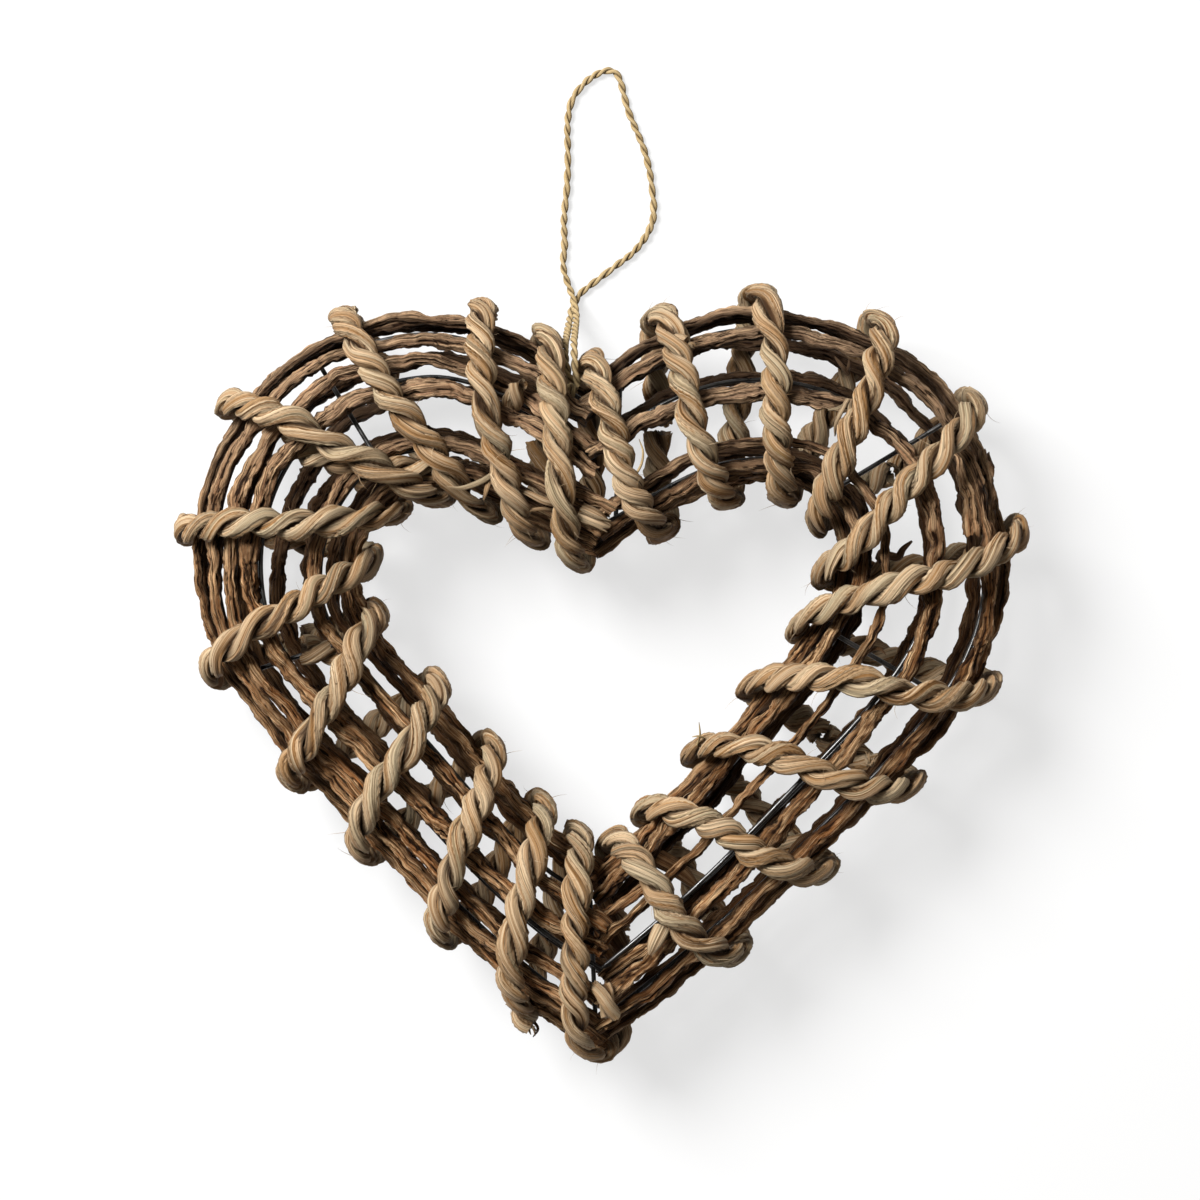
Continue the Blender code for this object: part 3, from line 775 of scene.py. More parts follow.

# %% [markdown]
# ## Recipe: a bark-covered vine
# The ribs of the heart are thin vines, twisted and dried with their bark on. A smooth tube with a
# bark picture would look painted, because at this size the deep furrows show in the outline. So a
# tube is swept along each vine's line and pushed in and out by its own rule: flat strips that twist
# slowly, furrows between them, plates with cracks round them, ledges where a layer of bark ends,
# swollen joints now and then, and fine roughness. The depth is kept on the mesh, because rubbed
# ridges, partly a painted highlight, are lighter than furrows, and the furrows get painted shade. How
# much the surface faces out of the tube is kept too, for painted shade on the sides that face in.

# %% The vine tree
def vine_recipe():
    """A barked vine along a rail that carries run, size and outward."""
    r = Recipe(
        "Barked vine", Sides=int, Strips=float, Twist=float, Furrow=float, Plate=float, Rough=float,
        Ledge=float, Joint=float, Lumps=float, Relief=float, Wander=float, Shade=float, Seed=float,
        Material=object,
    )
    given = r.given
    run = r.read("run")
    curve = r.add("GeometryNodeMeshToCurve", given["Geometry"])
    drift = r.add("ShaderNodeTexNoise", r.join(run, 0.5, given["Seed"]), 45.0, 2.5, 0.6, out=1)
    drift = r.vector("SUBTRACT", drift, (0.5, 0.5, 0.5))
    drift = r.vector("SCALE", drift, given["Wander"])
    curve = r.add("GeometryNodeSetPosition", curve, True, None, drift)
    profile = r.add("GeometryNodeCurvePrimitiveCircle", given["Sides"], 1.0)
    around = r.math("MULTIPLY", r.add("GeometryNodeSplineParameter"), math.tau)
    profile = r.store(profile, "around", around)
    size = r.read("size")
    mesh = r.add("GeometryNodeCurveToMesh", curve, profile, size, True)

    turned = r.math("DIVIDE", r.math("MULTIPLY", run, math.tau), given["Twist"])
    turned = r.math("ADD", r.read("around"), turned)
    turned = r.math("MULTIPLY_ADD", r.noise(r.join(run, 6.5, given["Seed"]), 20.0, 1.0), 2.6, turned)
    along = r.math("MULTIPLY_ADD", run, 60.0, given["Seed"])
    grain = r.join(r.math("COSINE", turned), r.math("SINE", turned), along)
    slow = r.vector("MULTIPLY", grain, (1.0, 1.0, 0.25))
    uneven = r.math("MULTIPLY_ADD", r.noise(slow, 0.9, 1.0), 3.0, turned)
    strip = r.math("SINE", r.math("MULTIPLY", uneven, r.math("MULTIPLY", given["Strips"], 0.5)))
    strip = r.math("POWER", r.math("ABSOLUTE", strip), 0.45)
    crack = r.math("ABSOLUTE", r.math("SUBTRACT", r.noise(slow, 1.8, 2.0, 0.5), 0.5))
    crack = r.spread(crack, 0.0, 0.05)
    cells = r.vector("MULTIPLY", grain, (1.0, 1.0, 0.30))
    bent = r.vector("SCALE", r.add("ShaderNodeTexNoise", grain, 2.0, 1.0, out=1), 0.35)
    cells = r.vector("ADD", cells, bent)
    plate = r.add("ShaderNodeSeparateXYZ", r.add("ShaderNodeTexVoronoi", cells, 1.7, out=1))
    gap = r.spread(r.add("ShaderNodeTexVoronoi", cells, 1.7, feature="DISTANCE_TO_EDGE"), 0.0, 0.10)
    crack = r.math("MULTIPLY", crack, gap)
    chips = r.spread(r.noise(r.vector("MULTIPLY", grain, (1.0, 1.0, 0.8)), 3.4, 1.0, 0.5), 0.44, 0.56)
    joint = r.spread(r.noise(r.join(run, 9.5, given["Seed"]), 50.0, 1.0), 0.57, 0.66)
    lumps = r.math("SUBTRACT", r.noise(r.join(run, 12.5, given["Seed"]), 110.0, 2.5, 0.6), 0.53)
    depth = r.math("MULTIPLY", r.math("SUBTRACT", strip, 0.75), given["Furrow"])
    cracked = r.math("MULTIPLY", given["Furrow"], 0.7)
    depth = r.math("MULTIPLY_ADD", r.math("SUBTRACT", crack, 0.8), cracked, depth)
    ledge = r.math("MULTIPLY_ADD", r.noise(grain, 0.55, 1.0), 3.5, r.math("MULTIPLY", run, 36.0))
    ledge = r.math("FRACT", ledge)
    for value, share in ((plate, "Plate"), (chips, "Rough"), (ledge, "Ledge")):
        depth = r.math("MULTIPLY_ADD", r.math("SUBTRACT", value, 0.5), given[share], depth)
    # The depth, for the rubbed ridges and the painted shade in the furrows.
    mesh = r.store(mesh, "depth", depth)
    depth = r.math("MULTIPLY_ADD", joint, given["Joint"], depth)
    depth = r.math("MULTIPLY_ADD", lumps, given["Lumps"], depth)
    mesh = r.store(mesh, "grain", grain, "FLOAT_VECTOR")
    # Shade shifts the tone: painted shade, darker for the right half's vines and lighter for the left's.
    tone = r.math("ADD", r.noise(r.join(run, 15.5, given["Seed"]), 18.0, 2.0), given["Shade"])
    mesh = r.store(mesh, "tone", tone)
    # How much the surface faces out of the tube, for painted shade on the sides that face in.
    faces_out = r.vector("DOT_PRODUCT", r.add("GeometryNodeInputNormal"), r.read("outward", "FLOAT_VECTOR"))
    mesh = r.store(mesh, "faces_out", faces_out)
    height = r.math("MULTIPLY", r.math("MULTIPLY", depth, given["Relief"]), size)
    lift = r.vector("SCALE", r.add("GeometryNodeInputNormal"), height)
    return r.finish(r.add("GeometryNodeSetPosition", mesh, True, None, lift))


barked_vine = vine_recipe()
print("the vine tree has", len(barked_vine.nodes), "nodes")

# %% [markdown]
# ## Bark
# The bark is warm brown, almost black in its furrows from darker bark and painted shade, and rubbed
# tan on its ridges, with reddish stretches where the outer skin has peeled. The depth that the recipe
# left on the mesh says which is furrow and which is ridge, and long streaks follow the grain. Thin
# painted highlights run beside the cracks, the rubbed ridges get a painted highlight where they face
# out of the tube, and painted shade darkens the sides that face in and the vines of the right half.
# The upper lobes are a little greyer and lighter.

# %% Bark finish
def bark_finish():
    """Furrowed brown bark with rubbed tan ridges, painted highlights and painted shade."""
    m = Finish("bark")
    grain = m.read("grain", 1)
    depth = m.read("depth")
    streaks = m.noise(m.vector("MULTIPLY", grain, (1.0, 1.0, 0.10)), 6.0, 5.0, 0.72)
    splits = m.noise(m.vector("MULTIPLY", grain, (1.0, 1.0, 0.06)), 3.6, 3.0, 0.55)
    # A thin band beside each crack, for a painted highlight.
    painted_highlight = m.spread(m.math("ABSOLUTE", m.math("SUBTRACT", splits, 0.54)), 0.0, 0.022)
    splits = m.spread(m.math("ABSOLUTE", m.math("SUBTRACT", splits, 0.5)), 0.0, 0.03)
    patches = m.noise(m.vector("MULTIPLY", grain, (0.6, 0.6, 0.35)), 1.5, 3.0, 0.6)
    specks = m.noise(m.place(), 900.0, 2.0, 0.6)
    base = m.ramp(streaks, (0.32, "3c2412"), (0.43, "6c482b"), (0.52, "8e6b49"), (0.62, "a98967"))
    base = m.mix(m.spread(patches, 0.50, 0.62, 0.0, 0.55), base, "7c4a22")
    # Darker by tone: random along each vine, plus painted shade on the right half's vines.
    base = m.mix(m.spread(m.read("tone"), 0.42, 0.66, 0.0, 0.75), base, "4a2e15")
    # Rubbed tan ridges, partly a painted highlight: only faces that point out of the tube get it.
    wear_and_highlight = m.math("MULTIPLY", m.spread(depth, 0.02, 0.32), m.spread(streaks, 0.42, 0.56))
    wear_and_highlight = m.math("MULTIPLY", wear_and_highlight, m.spread(m.read("faces_out"), 0.1, 0.8))
    base = m.mix(wear_and_highlight, base, "aa8a66")
    # Painted highlight: thin light lines beside the cracks, on the ridges.
    painted_highlight = m.math("MULTIPLY", m.spread(painted_highlight, 1.0, 0.0, 0.0, 0.75), m.spread(depth, -0.2, 0.1))
    base = m.mix(painted_highlight, base, "bd9f79")
    # The upper lobes a little greyer and lighter.
    upper = m.spread(m.add("ShaderNodeSeparateXYZ", m.place(), out=1), 0.03, 0.09, 0.0, 0.38)
    base = m.mix(upper, base, "8f7c68")
    base = m.mix(m.spread(splits, 0.0, 1.0, 0.88, 0.0), base, "1d0c02")
    # Darker bark in the deep furrows, with painted shade.
    base = m.mix(m.spread(depth, -0.22, -0.56, 0.0, 0.96), base, "150701")
    # Painted shade on the sides that face into the tube.
    base = m.mix(m.spread(m.read("faces_out"), 0.40, -0.25, 0.0, 0.72), base, "1e0d03")
    base = m.mix(m.spread(specks, 0.58, 0.74, 0.0, 0.35), base, "200f04")
    height = m.math("MULTIPLY_ADD", specks, 0.4, streaks)
    height = m.math("MULTIPLY_ADD", splits, 0.8, height)
    m.shader.inputs["Specular IOR Level"].default_value = 0.07
    return m.finish(base, m.spread(streaks, 0.3, 0.7, 0.62, 0.36), height, 0.0012)


bark = bark_finish()
print("bark finish is ready")

# %% The vines' ring angles at the cleft, side and tip, and their diameters
LEFT_VINES = (
    (0, 0, 4, SLIM_VINE),
    (14, 13, 16, THIN_VINE),
    (56, 40, 42, VINE),
    (82, 58, 66, VINE),
    (92, 80, 92, STOUT_VINE),
    (120, 122, 114, VINE),
    (150, 160, 166, VINE),
    (195, 193, 192, STOUT_VINE),
    (222, 225, 222, VINE),
    (250, 252, 254, VINE),
    (280, 272, 281, STOUT_VINE),
    (300, 305, 309, VINE),
    (346, 346, 347, SLIM_VINE),
)
RIGHT_VINES = (
    (2, 0, 8, SLIM_VINE),
    (52, 44, 42, VINE),
    (82, 88, 66, STOUT_VINE),
    (116, 118, 96, THIN_VINE),
    (140, 141, 134, VINE),
    (168, 170, 168, VINE),
    (194, 193, 194, VINE),
    (215, 213, 218, STOUT_VINE),
    (240, 237, 245, VINE),
    (282, 280, 281, VINE),
    (308, 311, 322, VINE),
    (346, 346, 348, SLIM_VINE),
)


SWAY_TURNS = 1.6
SWAY_SHIFT = 0.37


def vine_angle(angles, share, number):
    """A vine's ring angle in radians, through its three angles, with a slow sway of its own."""
    cleft, side, tip = angles
    bend = 2 * (cleft + tip - 2 * side)
    slope = tip - cleft - bend
    sway = VINE_SWAY * math.sin(math.tau * (SWAY_TURNS * share + SWAY_SHIFT * number))
    return math.radians(cleft + slope * share + bend * share * share + sway)


print(len(LEFT_VINES) + len(RIGHT_VINES), "vines")

# %% The twenty-five vines
VINE_BARK = dict(
    Sides=24, Furrow=0.60, Plate=0.70, Rough=0.42, Ledge=0.46, Joint=0.70, Lumps=2.1, Relief=0.55,
    Wander=0.0064,
)
VINE_STEPS = 80
VINE_END_GAP = 0.02
VINE_SPACING = 0.0010
KINK_STEPS = 8
KINK = 0.0016
KINK_IN = 0.4
KINK_PACE = 12.9
KINK_SHIFT = 7.3
PAST_TIP = 0.0035
PAST_CLEFT = 0.0010
# The last value of each half is painted shade: the right half's vines darker, the left half's lighter.
VINE_HALVES = (
    ("left", LEFT_VINES, 0, 0, -0.06),
    ("right", RIGHT_VINES, CLEFT, 50, 0.08),
)


def kink(step, number):
    """How far a vine is bent aside at a step: straight runs between corners, one value per vine."""
    bends = [KINK_PACE * (step // KINK_STEPS + n) + KINK_SHIFT * number for n in (0, 1)]
    corners = [math.sin(bend) * KINK for bend in bends]
    share = step % KINK_STEPS / KINK_STEPS
    return corners[0] * (1 - share) + corners[1] * share


for half, rows, first, first_seed, shade in VINE_HALVES:
    way = math.copysign(1, TIP - first)
    start = first + way * VINE_END_GAP
    end = TIP - way * VINE_END_GAP
    for number, (*angles, diameter) in enumerate(rows, start=1):
        coarse, facings = [], []
        for step in range(VINE_STEPS + 1):
            share = step / VINE_STEPS
            station = start + (end - start) * share
            point, facing = tube_point(station, vine_angle(angles, share, number), 0.0)
            aside = facing.cross(Vector((0.6, 0.8, 0.0))).normalized() * kink(step, number)
            coarse.append(point + PLACE + aside + facing * (kink(step, number + 0.5) - KINK) * KINK_IN)
            facings.append(facing)
        coarse.insert(0, coarse[0] + (coarse[0] - coarse[1]).normalized() * PAST_CLEFT)
        coarse.append(coarse[-1] + (coarse[-1] - coarse[-2]).normalized() * PAST_TIP)
        points = smooth_route(coarse, VINE_SPACING)
        outward = [facings[round(VINE_STEPS * n / (len(points) - 1))] for n in range(len(points))]
        rail = make_rail([points], run=lengths(points), size=[diameter / 2] * len(points), outward=outward)
        name = f"vine_{half}_{number:02d}"
        piece = make_piece(
            f"{name}_bark", rail, barked_vine, bark, Seed=3.7 * number + first_seed,
            Strips=2.0 + number % 3, Twist=0.16 + 0.05 * (number * 7 % 5), Shade=shade, **VINE_BARK,
        )
        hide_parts(name)
print(len(LEFT_VINES + RIGHT_VINES), "vines, the last with", len(piece.data.polygons), "faces")

# %% [markdown]
# ## Black wire frame
# Inside the vines is a frame of glossy black wire: four wire hearts, welded to short struts. In the
# solid model the hearts and struts are separate solids. The real frame is one thing, so here one
# piece stands for them all. A wire is a plain round tube, so a simple sweep along smooth lines does.

# %% The wire tree and its finish
def wire_recipe():
    """A plain round wire along rails."""
    r = Recipe("Wire", Sides=int, Radius=float, Material=object)
    curve = r.add("GeometryNodeMeshToCurve", r.given["Geometry"])
    profile = r.add("GeometryNodeCurvePrimitiveCircle", r.given["Sides"], 1.0)
    return r.finish(r.add("GeometryNodeCurveToMesh", curve, profile, r.given["Radius"], True))


def wire_finish():
    """Glossy black paint with slight runs."""
    m = Finish("black_wire")
    runs = m.noise(m.place(), 260.0, 3.0)
    base = m.ramp(runs, (0.35, "0b0a09"), (0.7, "1c1916"))
    return m.finish(base, m.spread(runs, 0.3, 0.7, 0.22, 0.42), runs, 0.0002)


wire = wire_finish()
wire_tree = wire_recipe()
print("the wire tree has", len(wire_tree.nodes), "nodes")

# %% The wire frame
STRUT_STATIONS = {
    "strut_left_lobe": 3.4,
    "strut_left_side": 7.5,
    "strut_tip": 10.9,
    "strut_right_side": 14.35,
    "strut_right_lobe": 17.45,
    "strut_cleft": 21.6,
}
WIRE_PARTS = 6
STRUT_PARTS = 8
WIRE = dict(Sides=10, Radius=WIRE_DIAMETER / 2)


def wire_ring(name):
    """One wire heart through the same points as its solid, with corners only at cleft and tip."""
    corners = [wire_point(name, CLEFT * n / WIRE_POINTS) + PLACE for n in range(WIRE_POINTS)]
    line = []
    for n, (start, end) in enumerate(zip(corners, corners[1:] + corners[:1])):
        before, after = corners[n - 1], corners[(n + 2) % WIRE_POINTS]
        if n in (0, WIRE_POINTS // 2):
            before = 2 * start - end
        if n in (WIRE_POINTS - 1, WIRE_POINTS // 2 - 1):
            after = 2 * end - start
        line += [smooth(before, start, end, after, part / WIRE_PARTS) for part in range(WIRE_PARTS)]
    return line


wire_lines = [wire_ring(name) for name in WIRE_RINGS]
strut_lines = []
for station in STRUT_STATIONS.values():
    ends = [wire_point(name, station) + PLACE for name in ("wire_outer", "wire_inner")]
    strut_lines.append([ends[0].lerp(ends[1], part / STRUT_PARTS) for part in range(STRUT_PARTS + 1)])
rings = make_piece("wire_rings", make_rail(wire_lines, closed=True), wire_tree, wire, **WIRE)
wire_frame = make_piece("wire_frame", make_rail(strut_lines), wire_tree, wire, **WIRE)
with bpy.context.temp_override(
    active_object=wire_frame, selected_objects=[rings, wire_frame],
    selected_editable_objects=[rings, wire_frame],
):
    bpy.ops.object.join()
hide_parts(*WIRE_RINGS, *STRUT_STATIONS)
print(wire_frame.name, len(wire_frame.data.polygons), "faces")

# %% [markdown]
# ## Loose fibres, broken ends and flakes
# A hand-made thing from dry plants is never clean. Thin fibres stand off the rope, some ropes end in
# a cut stub, blades have split off and hang, and here and there a twig or a broken vine end is left.
# Hundreds of fibres would be dull to place by hand, so one tree scatters them over the ropes. The
# few that can be told apart in the photograph are placed one by one, by the pixel where they show.

# %% The tree for single fibres and blades
def fibre_recipe():
    """Tapered fibres along rails that carry outward, run, radius and flat."""
    r = Recipe("Fibre", Sides=int, Seed=float, Material=object)
    given = r.given
    here = r.add("GeometryNodeInputPosition")
    curve = r.add("GeometryNodeMeshToCurve", given["Geometry"])
    curve = r.store(curve, "middle", here, "FLOAT_VECTOR")
    profile = r.add("GeometryNodeCurvePrimitiveCircle", given["Sides"], 1.0)
    around = r.math("MULTIPLY", r.add("GeometryNodeSplineParameter"), math.tau)
    profile = r.store(profile, "around", around)
    mesh = r.add("GeometryNodeCurveToMesh", curve, profile, r.read("radius"), True)
    run, turned = r.read("run"), r.read("around")
    along = r.math("MULTIPLY_ADD", run, 40.0, given["Seed"])
    grain = r.join(r.math("COSINE", turned), r.math("SINE", turned), along)
    mesh = r.store(mesh, "grain", grain, "FLOAT_VECTOR")
    mesh = r.store(mesh, "tone", r.noise(r.join(run, given["Seed"], 0.5), 25.0, 1.0))
    # Fixed values for the finishes: reach, blade and faces_out keep their painted shade off, and depth
    # -0.36 darkens bark-coloured fibres through the furrow mix of darker bark and painted shade.
    for name, value in (("reach", 1.0), ("blade", 0.6), ("depth", -0.36), ("faces_out", 0.8)):
        mesh = r.store(mesh, name, value)
    outward = r.read("outward", "FLOAT_VECTOR")
    away = r.vector("DOT_PRODUCT", r.vector("SUBTRACT", here, r.read("middle", "FLOAT_VECTOR")), outward)
    press = r.math("MULTIPLY", away, r.math("SUBTRACT", r.read("flat"), 1.0))
    return r.finish(r.add("GeometryNodeSetPosition", mesh, True, None, r.vector("SCALE", outward, press)))


fibre_tree = fibre_recipe()
print("the fibre tree has", len(fibre_tree.nodes), "nodes")

# %% Fibres that stand off the ropes
def whisker_recipe():
    """Short curved fibres scattered over a surface, which lean along it."""
    r = Recipe("Whiskers", Density=float, Length=float, Radius=float, Seed=int, Material=object)
    given = r.given
    scatter = r.tree.nodes.new("GeometryNodeDistributePointsOnFaces")
    r.tree.links.new(given["Geometry"], scatter.inputs["Mesh"])
    r.tree.links.new(given["Density"], scatter.inputs["Density"])
    r.tree.links.new(given["Seed"], scatter.inputs["Seed"])
    line = r.add("GeometryNodeCurvePrimitiveLine", (0.0, 0.0, 0.0), (0.0, 0.0, 1.0))
    line = r.add("GeometryNodeResampleCurve", line, True, 7)
    share = r.add("GeometryNodeSplineParameter")
    bend = r.join(r.math("MULTIPLY", r.math("MULTIPLY", share, share), 0.55), 0.0, 0.0)
    line = r.add("GeometryNodeSetPosition", line, True, None, bend)
    line = r.store(line, "run", share)
    profile = r.add("GeometryNodeCurvePrimitiveCircle", 4, 1.0)
    thin = r.math("DIVIDE", given["Radius"], given["Length"])
    thin = r.math("MULTIPLY", r.math("SUBTRACT", 1.1, share), thin)
    hair = r.add("GeometryNodeCurveToMesh", line, profile, thin, True)
    # reach 1 and blade 0.9 keep the grass finish's painted shade off the whiskers.
    hair = r.store(r.store(hair, "reach", 1.0), "blade", 0.9)
    lean = r.add(
        "FunctionNodeRandomValue", (-1.0, -1.0, -1.0), (1.0, 1.0, 1.0), None, given["Seed"],
        data_type="FLOAT_VECTOR",
    )
    aim = r.vector("ADD", scatter.outputs["Normal"], lean)
    turn = r.add("FunctionNodeAlignRotationToVector", None, 1.0, aim, axis="Z")
    size = r.add("FunctionNodeRandomValue", 0.35, 1.0, None, 5, data_type="FLOAT")
    size = r.math("MULTIPLY", size, given["Length"])
    places = scatter.outputs["Points"]
    return r.finish(r.add("GeometryNodeInstanceOnPoints", places, True, hair, None, None, turn, size))


whisker_tree = whisker_recipe()
WHISKER = dict(Length=0.007, Radius=0.00011, Density=2200.0)
grass_pieces = [o for o in bpy.data.objects if o.name.endswith("_grass")]
for number, rope_piece in enumerate(grass_pieces):
    whiskers = make_piece(
        rope_piece.name.replace("_grass", "_whiskers"), rope_piece.data.copy(), whisker_tree, grass,
        Seed=number, **WHISKER,
    )
print(len(grass_pieces), "pieces of fibres, the last with", len(whiskers.data.polygons), "faces")

# %% Helpers that place a thing by the pixel where it shows
FIBRE_SPACING = 0.0008
FIBRE_SHIFT = 0.37
FIBRE_TAPER = 0.75
FIBRE_FACING = Vector((0.0, 0.3, 0.95)).normalized()


def spot(x, y, height):
    """The point at a height over the floor that shows at a pixel of the photograph."""
    shrink = PIXEL * (1 - height / CAMERA_HEIGHT)
    return Vector((
        camera.location.x + (x - PHOTO_PIXELS / 2) * shrink,
        camera.location.y - (y - PHOTO_PIXELS / 2) * shrink,
        height,
    ))


def make_fibres(name, rows, material, sides, seed):
    """Fibres and blades, each from its radius, its flatness and its route's pixels and heights."""
    lines, run, radii, flats, outward = [], [], [], [], []
    for radius, flat, *route in rows:
        points = smooth_route([spot(*place) for place in route], FIBRE_SPACING)
        lines.append(points)
        run += [s + FIBRE_SHIFT * len(lines) for s in lengths(points)]
        shares = np.linspace(0, 1, len(points))
        radii += [radius * (1 - FIBRE_TAPER * s**3) for s in shares]
        flats += [flat] * len(points)
        outward += [FIBRE_FACING] * len(points)
    rail = make_rail(lines, run=run, radius=radii, flat=flats, outward=outward)
    piece = make_piece(name, rail, fibre_tree, material, Sides=sides, Seed=seed)
    print(piece.name, len(lines), "fibres")


print("the photograph's middle is at", [round(v, 4) for v in spot(600, 600, 0.0)])

# %% Split blades that can be told apart
make_fibres("split_blades", (
    (0.0011, 0.35, (494, 474, 0.055), (480, 482, 0.058), (462, 488, 0.058), (447, 487, 0.057)),
    (0.0010, 0.4, (490, 478, 0.055), (487, 488, 0.057), (484, 500, 0.055)),
    (0.0015, 0.35, (560, 504, 0.052), (545, 501, 0.056), (530, 494, 0.056), (518, 489, 0.052)),
    (0.0008, 0.5, (560, 512, 0.050), (543, 509, 0.055), (528, 511, 0.055), (520, 516, 0.052)),
    (0.0030, 0.14, (662, 928, 0.060), (657, 938, 0.062), (650, 954, 0.060)),
    (0.0009, 0.5, (848, 400, 0.058), (842, 410, 0.062), (836, 424, 0.060), (835, 436, 0.056)),
    (0.0007, 0.5, (850, 402, 0.058), (849, 414, 0.063), (846, 430, 0.061)),
    (0.0006, 0.6, (846, 404, 0.060), (838, 408, 0.062), (828, 410, 0.060)),
), grass, 8, 3.0)

# %% Dark twigs and a pale curl
make_fibres("twigs", (
    (0.0009, 0.8, (848, 374, 0.055), (842, 366, 0.058), (835, 357, 0.060)),
    (0.0008, 0.8, (846, 372, 0.055), (849, 366, 0.058), (849, 359, 0.060)),
    (
        0.0016, 0.9, (880, 560, 0.040), (888, 556, 0.043), (898, 557, 0.044), (903, 549, 0.046),
        (912, 541, 0.047),
    ),
    (0.0022, 0.9, (881, 558, 0.040), (884, 553, 0.043), (889, 555, 0.044)),
    (0.0007, 0.8, (862, 655, 0.050), (872, 650, 0.052), (880, 649, 0.052), (886, 655, 0.051)),
    (0.0006, 0.8, (530, 1018, 0.030), (538, 1028, 0.030), (533, 1037, 0.028)),
), bark, 7, 5.0)
make_fibres("pale_curl", (
    (
        0.0005, 0.9, (626, 480, 0.058), (634, 476, 0.061), (641, 465, 0.061), (643, 452, 0.060),
        (639, 439, 0.056),
    ),
    (0.0004, 0.9, (697, 745, 0.045), (700, 735, 0.048), (699, 722, 0.050)),
    (0.0004, 0.9, (704, 738, 0.047), (698, 736, 0.049), (692, 737, 0.049)),
    (0.0004, 0.9, (710, 742, 0.047), (716, 748, 0.050), (722, 751, 0.049)),
), jute, 5, 8.0)

# %% Tufts where a rope has frayed
def fan(x, y, height, reach, first, last, count):
    """Fibres that spread from one pixel, between two directions in degrees."""
    rows = []
    for n in range(count):
        angle = math.radians(first + (last - first) * n / (count - 1))
        far = reach * (0.7 + 0.3 * math.sin(5.1 * n))
        tip = (x + far * math.cos(angle), y - far * math.sin(angle), height + 0.002 * math.sin(2.3 * n))
        middle = ((x + tip[0]) / 2 + 1.5 * math.sin(3.7 * n), (y + tip[1]) / 2, height + 0.002)
        rows.append((0.0004 + 0.0002 * (n % 2), 0.6, (x, y, height - 0.001), middle, tip))
    return rows


make_fibres("tufts", (
    *fan(872, 766, 0.056, 17, 60, 170, 9),
    *fan(758, 857, 0.057, 15, 20, 130, 7),
    *fan(600, 1050, 0.036, 12, 200, 330, 7),
    *fan(530, 1024, 0.032, 13, 220, 330, 7),
    *fan(690, 343, 0.058, 9, 250, 350, 6),
    *fan(574, 520, 0.056, 12, 150, 230, 6),
), grass, 4, 12.0)

# %% Broken vine ends, wide strips and dark leaves
BRANCH_BARK = dict(VINE_BARK, Strips=3.0, Twist=0.20, Shade=0.0)
BRANCH_FACING = Vector((-0.3, 0.3, 0.9)).normalized()


def make_branch(name, diameter, seed, *route):
    """A barked piece along a route of pixels and heights."""
    points = smooth_route([spot(*place) for place in route], VINE_SPACING)
    sizes, facings = [diameter / 2] * len(points), [BRANCH_FACING] * len(points)
    rail = make_rail([points], run=lengths(points), size=sizes, outward=facings)
    piece = make_piece(name, rail, barked_vine, bark, Seed=seed, **BRANCH_BARK)
    print(piece.name, round(lengths(points)[-1] * 1000), "mm long")


make_branch("broken_cleft_upper", 0.0052, 71.0, (562, 484, 0.050), (585, 498, 0.053), (613, 511, 0.053))
make_branch("broken_cleft_lower", 0.0058, 73.0, (548, 500, 0.050), (578, 515, 0.053), (600, 527, 0.052))
make_branch("broken_left_lobe", 0.0042, 75.0, (545, 428, 0.050), (572, 438, 0.053), (598, 450, 0.052))
make_branch("tip_end_left", 0.0062, 77.0, (512, 982, 0.030), (556, 1016, 0.030), (603, 1053, 0.028))
make_branch("tip_end_crossing", 0.0036, 79.0, (588, 927, 0.050), (615, 908, 0.053), (650, 883, 0.054))
make_branch("tip_end_right", 0.0042, 81.0, (604, 980, 0.047), (640, 952, 0.050), (690, 918, 0.052))
make_branch("wide_strip_left", 0.0058, 83.0, (964, 446, 0.044), (969, 488, 0.046), (972, 532, 0.044))
make_branch("wide_strip_right", 0.0056, 85.0, (984, 452, 0.040), (988, 486, 0.042), (990, 530, 0.041))
make_fibres("dark_leaves", (
    (0.0042, 0.22, (600, 902, 0.036), (611, 928, 0.038), (630, 958, 0.034)),
    (0.0036, 0.22, (596, 924, 0.030), (608, 946, 0.032), (621, 970, 0.030)),
    (0.0034, 0.22, (658, 858, 0.030), (676, 868, 0.032), (697, 886, 0.030)),
), bark, 10, 17.0)
make_fibres("cut_wood", (
    (0.0038, 0.20, (580, 512, 0.055), (594, 518, 0.056), (610, 526, 0.055)),
    (0.0007, 0.8, (582, 511, 0.056), (596, 517, 0.057), (611, 521, 0.056)),
    (0.0007, 0.8, (578, 518, 0.056), (592, 524, 0.057), (607, 532, 0.056)),
    (0.0007, 0.8, (592, 443, 0.055), (596, 447, 0.055), (598, 452, 0.054)),
), grass, 6, 15.0)

# %% Cut rope ends
STUB = dict(ROPE, Radius=0.0046, Lay=0.022)
STUB_SPACING = 0.0009
STUB_FLATNESS = 0.85


def make_stub(name, route, half_width, seed):
    """A short length of rope that ends in a cut."""
    points = smooth_route([spot(*place) for place in route], STUB_SPACING)
    count = len(points)
    piece = make_laid(
        name, points, any_outward(points), [half_width * STUB_FLATNESS] * count, [half_width] * count,
        grass, Seed=seed, **STUB,
    )
    print(piece.name, round(lengths(points)[-1] * 1000), "mm long")


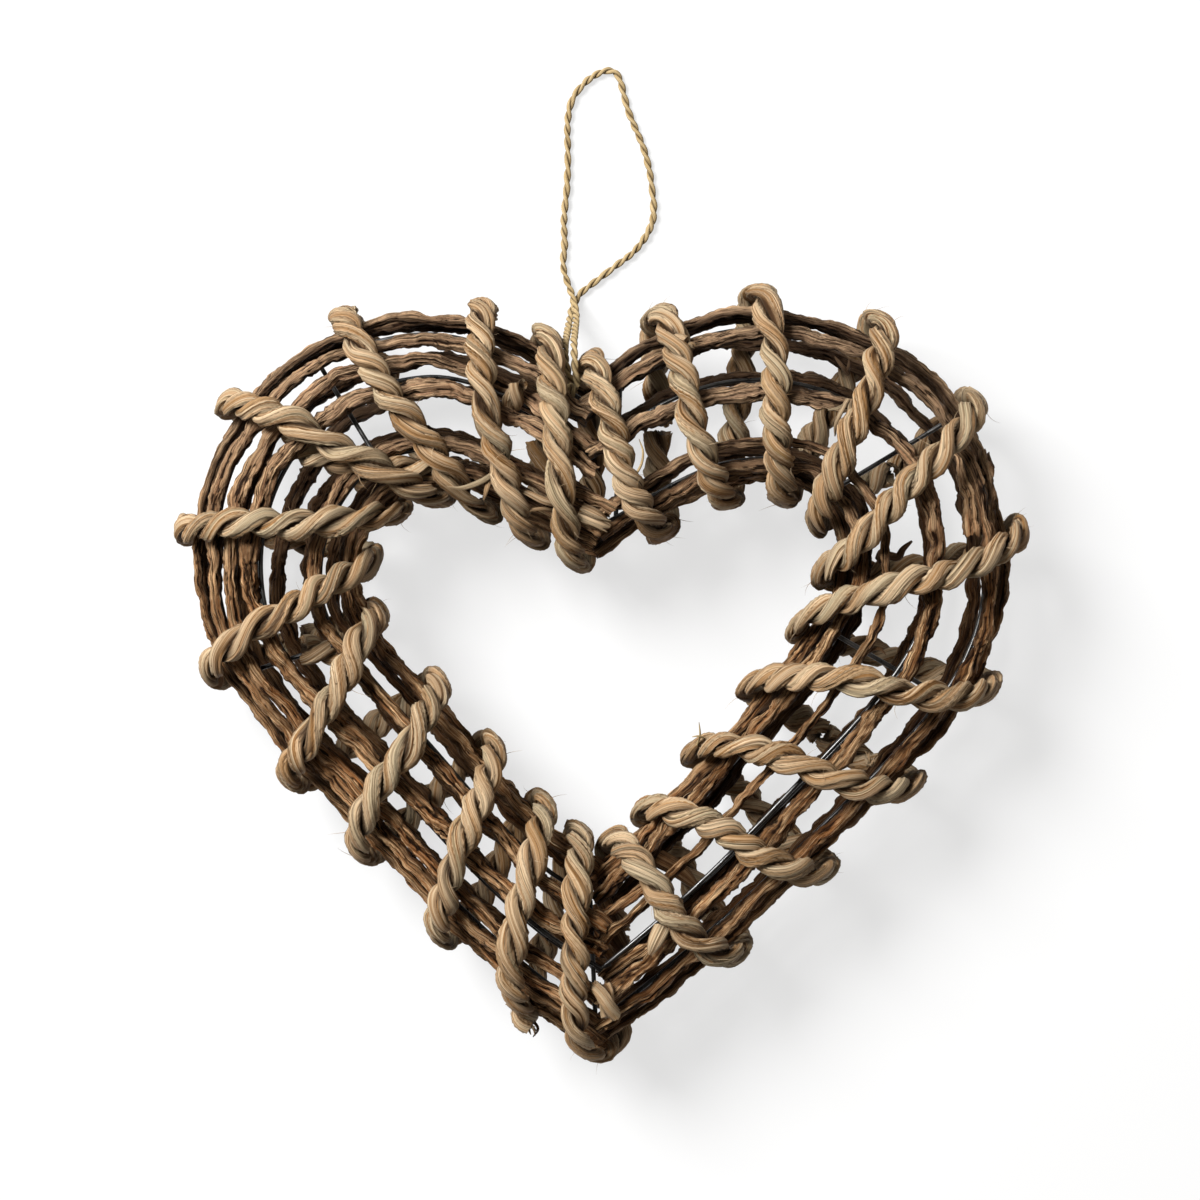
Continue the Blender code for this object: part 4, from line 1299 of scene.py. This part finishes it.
make_stub("stub_left_lobe", ((505, 420, 0.046), (512, 406, 0.054), (520, 384, 0.060)), 0.0036, 21.0)
make_stub("stub_right_lobe", ((668, 322, 0.047), (675, 332, 0.052), (685, 346, 0.057)), 0.0042, 23.0)
make_stub("stub_left_arm", (
    (362, 660, 0.038), (340, 654, 0.042), (322, 650, 0.045), (304, 650, 0.046),
), 0.0050, 27.0)
make_stub("rope_below_left_lobe", (
    (288, 448, 0.046), (318, 458, 0.050), (352, 464, 0.053), (388, 467, 0.052), (430, 467, 0.046),
    (466, 472, 0.040),
), 0.0044, 31.0)
make_stub("stub_lump", ((517, 998, 0.036), (523, 1010, 0.035), (529, 1023, 0.031)), 0.0048, 33.0)
make_stub("stub_tip", ((600, 985, 0.058), (606, 1000, 0.062), (612, 1016, 0.061)), 0.0040, 29.0)

# %% [markdown]
# ## Floor and light
# The photograph has a white ground with soft, pale shadows to the lower right. A very large soft
# light at the upper left gives their direction, and a pale surrounding light keeps them pale. The
# floor glows a little, so that it shows white without so much light that the heart looks washed out.

# %% Floor
FLOOR_HALF = 4.0
FLOOR_HEIGHT = -0.0003
FLOOR_GLOW = 0.70
floor_mesh = bpy.data.meshes.new("floor")
floor_mesh.from_pydata(
    [(x * FLOOR_HALF, y * FLOOR_HALF, FLOOR_HEIGHT) for x, y in ((-1, -1), (1, -1), (1, 1), (-1, 1))],
    [], [(0, 1, 2, 3)],
)
floor = bpy.data.objects.new("floor", floor_mesh)
bpy.context.collection.objects.link(floor)
paper = Finish("white_ground")
paper.finish(paper.ramp(paper.noise(paper.place(), 3.0), (0.0, "676767"), (1.0, "6b6b6b")), 0.95)
paper.shader.inputs["Specular IOR Level"].default_value = 0.0
paper.shader.inputs["Emission Color"].default_value = (1.0, 1.0, 1.0, 1.0)
paper.shader.inputs["Emission Strength"].default_value = FLOOR_GLOW
floor_mesh.materials.append(paper.material)
print("the floor is", FLOOR_HALF * 2, "m wide")

# %% Light
KEY_PLACE = (-1.0, 0.9, 1.5)
KEY_SIZE = 1.0
KEY_POWER = 131.0
SURROUNDING_COLOUR = (1.0, 0.94, 0.86, 1.0)
SURROUNDING_STRENGTH = 0.29


def soft_light(name, place, size, power):
    """A large soft light that faces the heart."""
    data = bpy.data.lights.new(name, "AREA")
    data.shape = "DISK"
    data.size = size
    data.energy = power
    light = bpy.data.objects.new(name, data)
    bpy.context.collection.objects.link(light)
    light.location = place
    light.rotation_euler = (-Vector(place)).to_track_quat("-Z", "Y").to_euler()


soft_light("key", KEY_PLACE, KEY_SIZE, KEY_POWER)
world = bpy.data.worlds.new("surroundings")
bpy.context.scene.world = world
world.use_nodes = True
background = world.node_tree.nodes["Background"]
background.inputs["Color"].default_value = SURROUNDING_COLOUR
background.inputs["Strength"].default_value = SURROUNDING_STRENGTH
bpy.context.scene.view_settings.view_transform = "Standard"
print("one soft light and a pale surrounding")
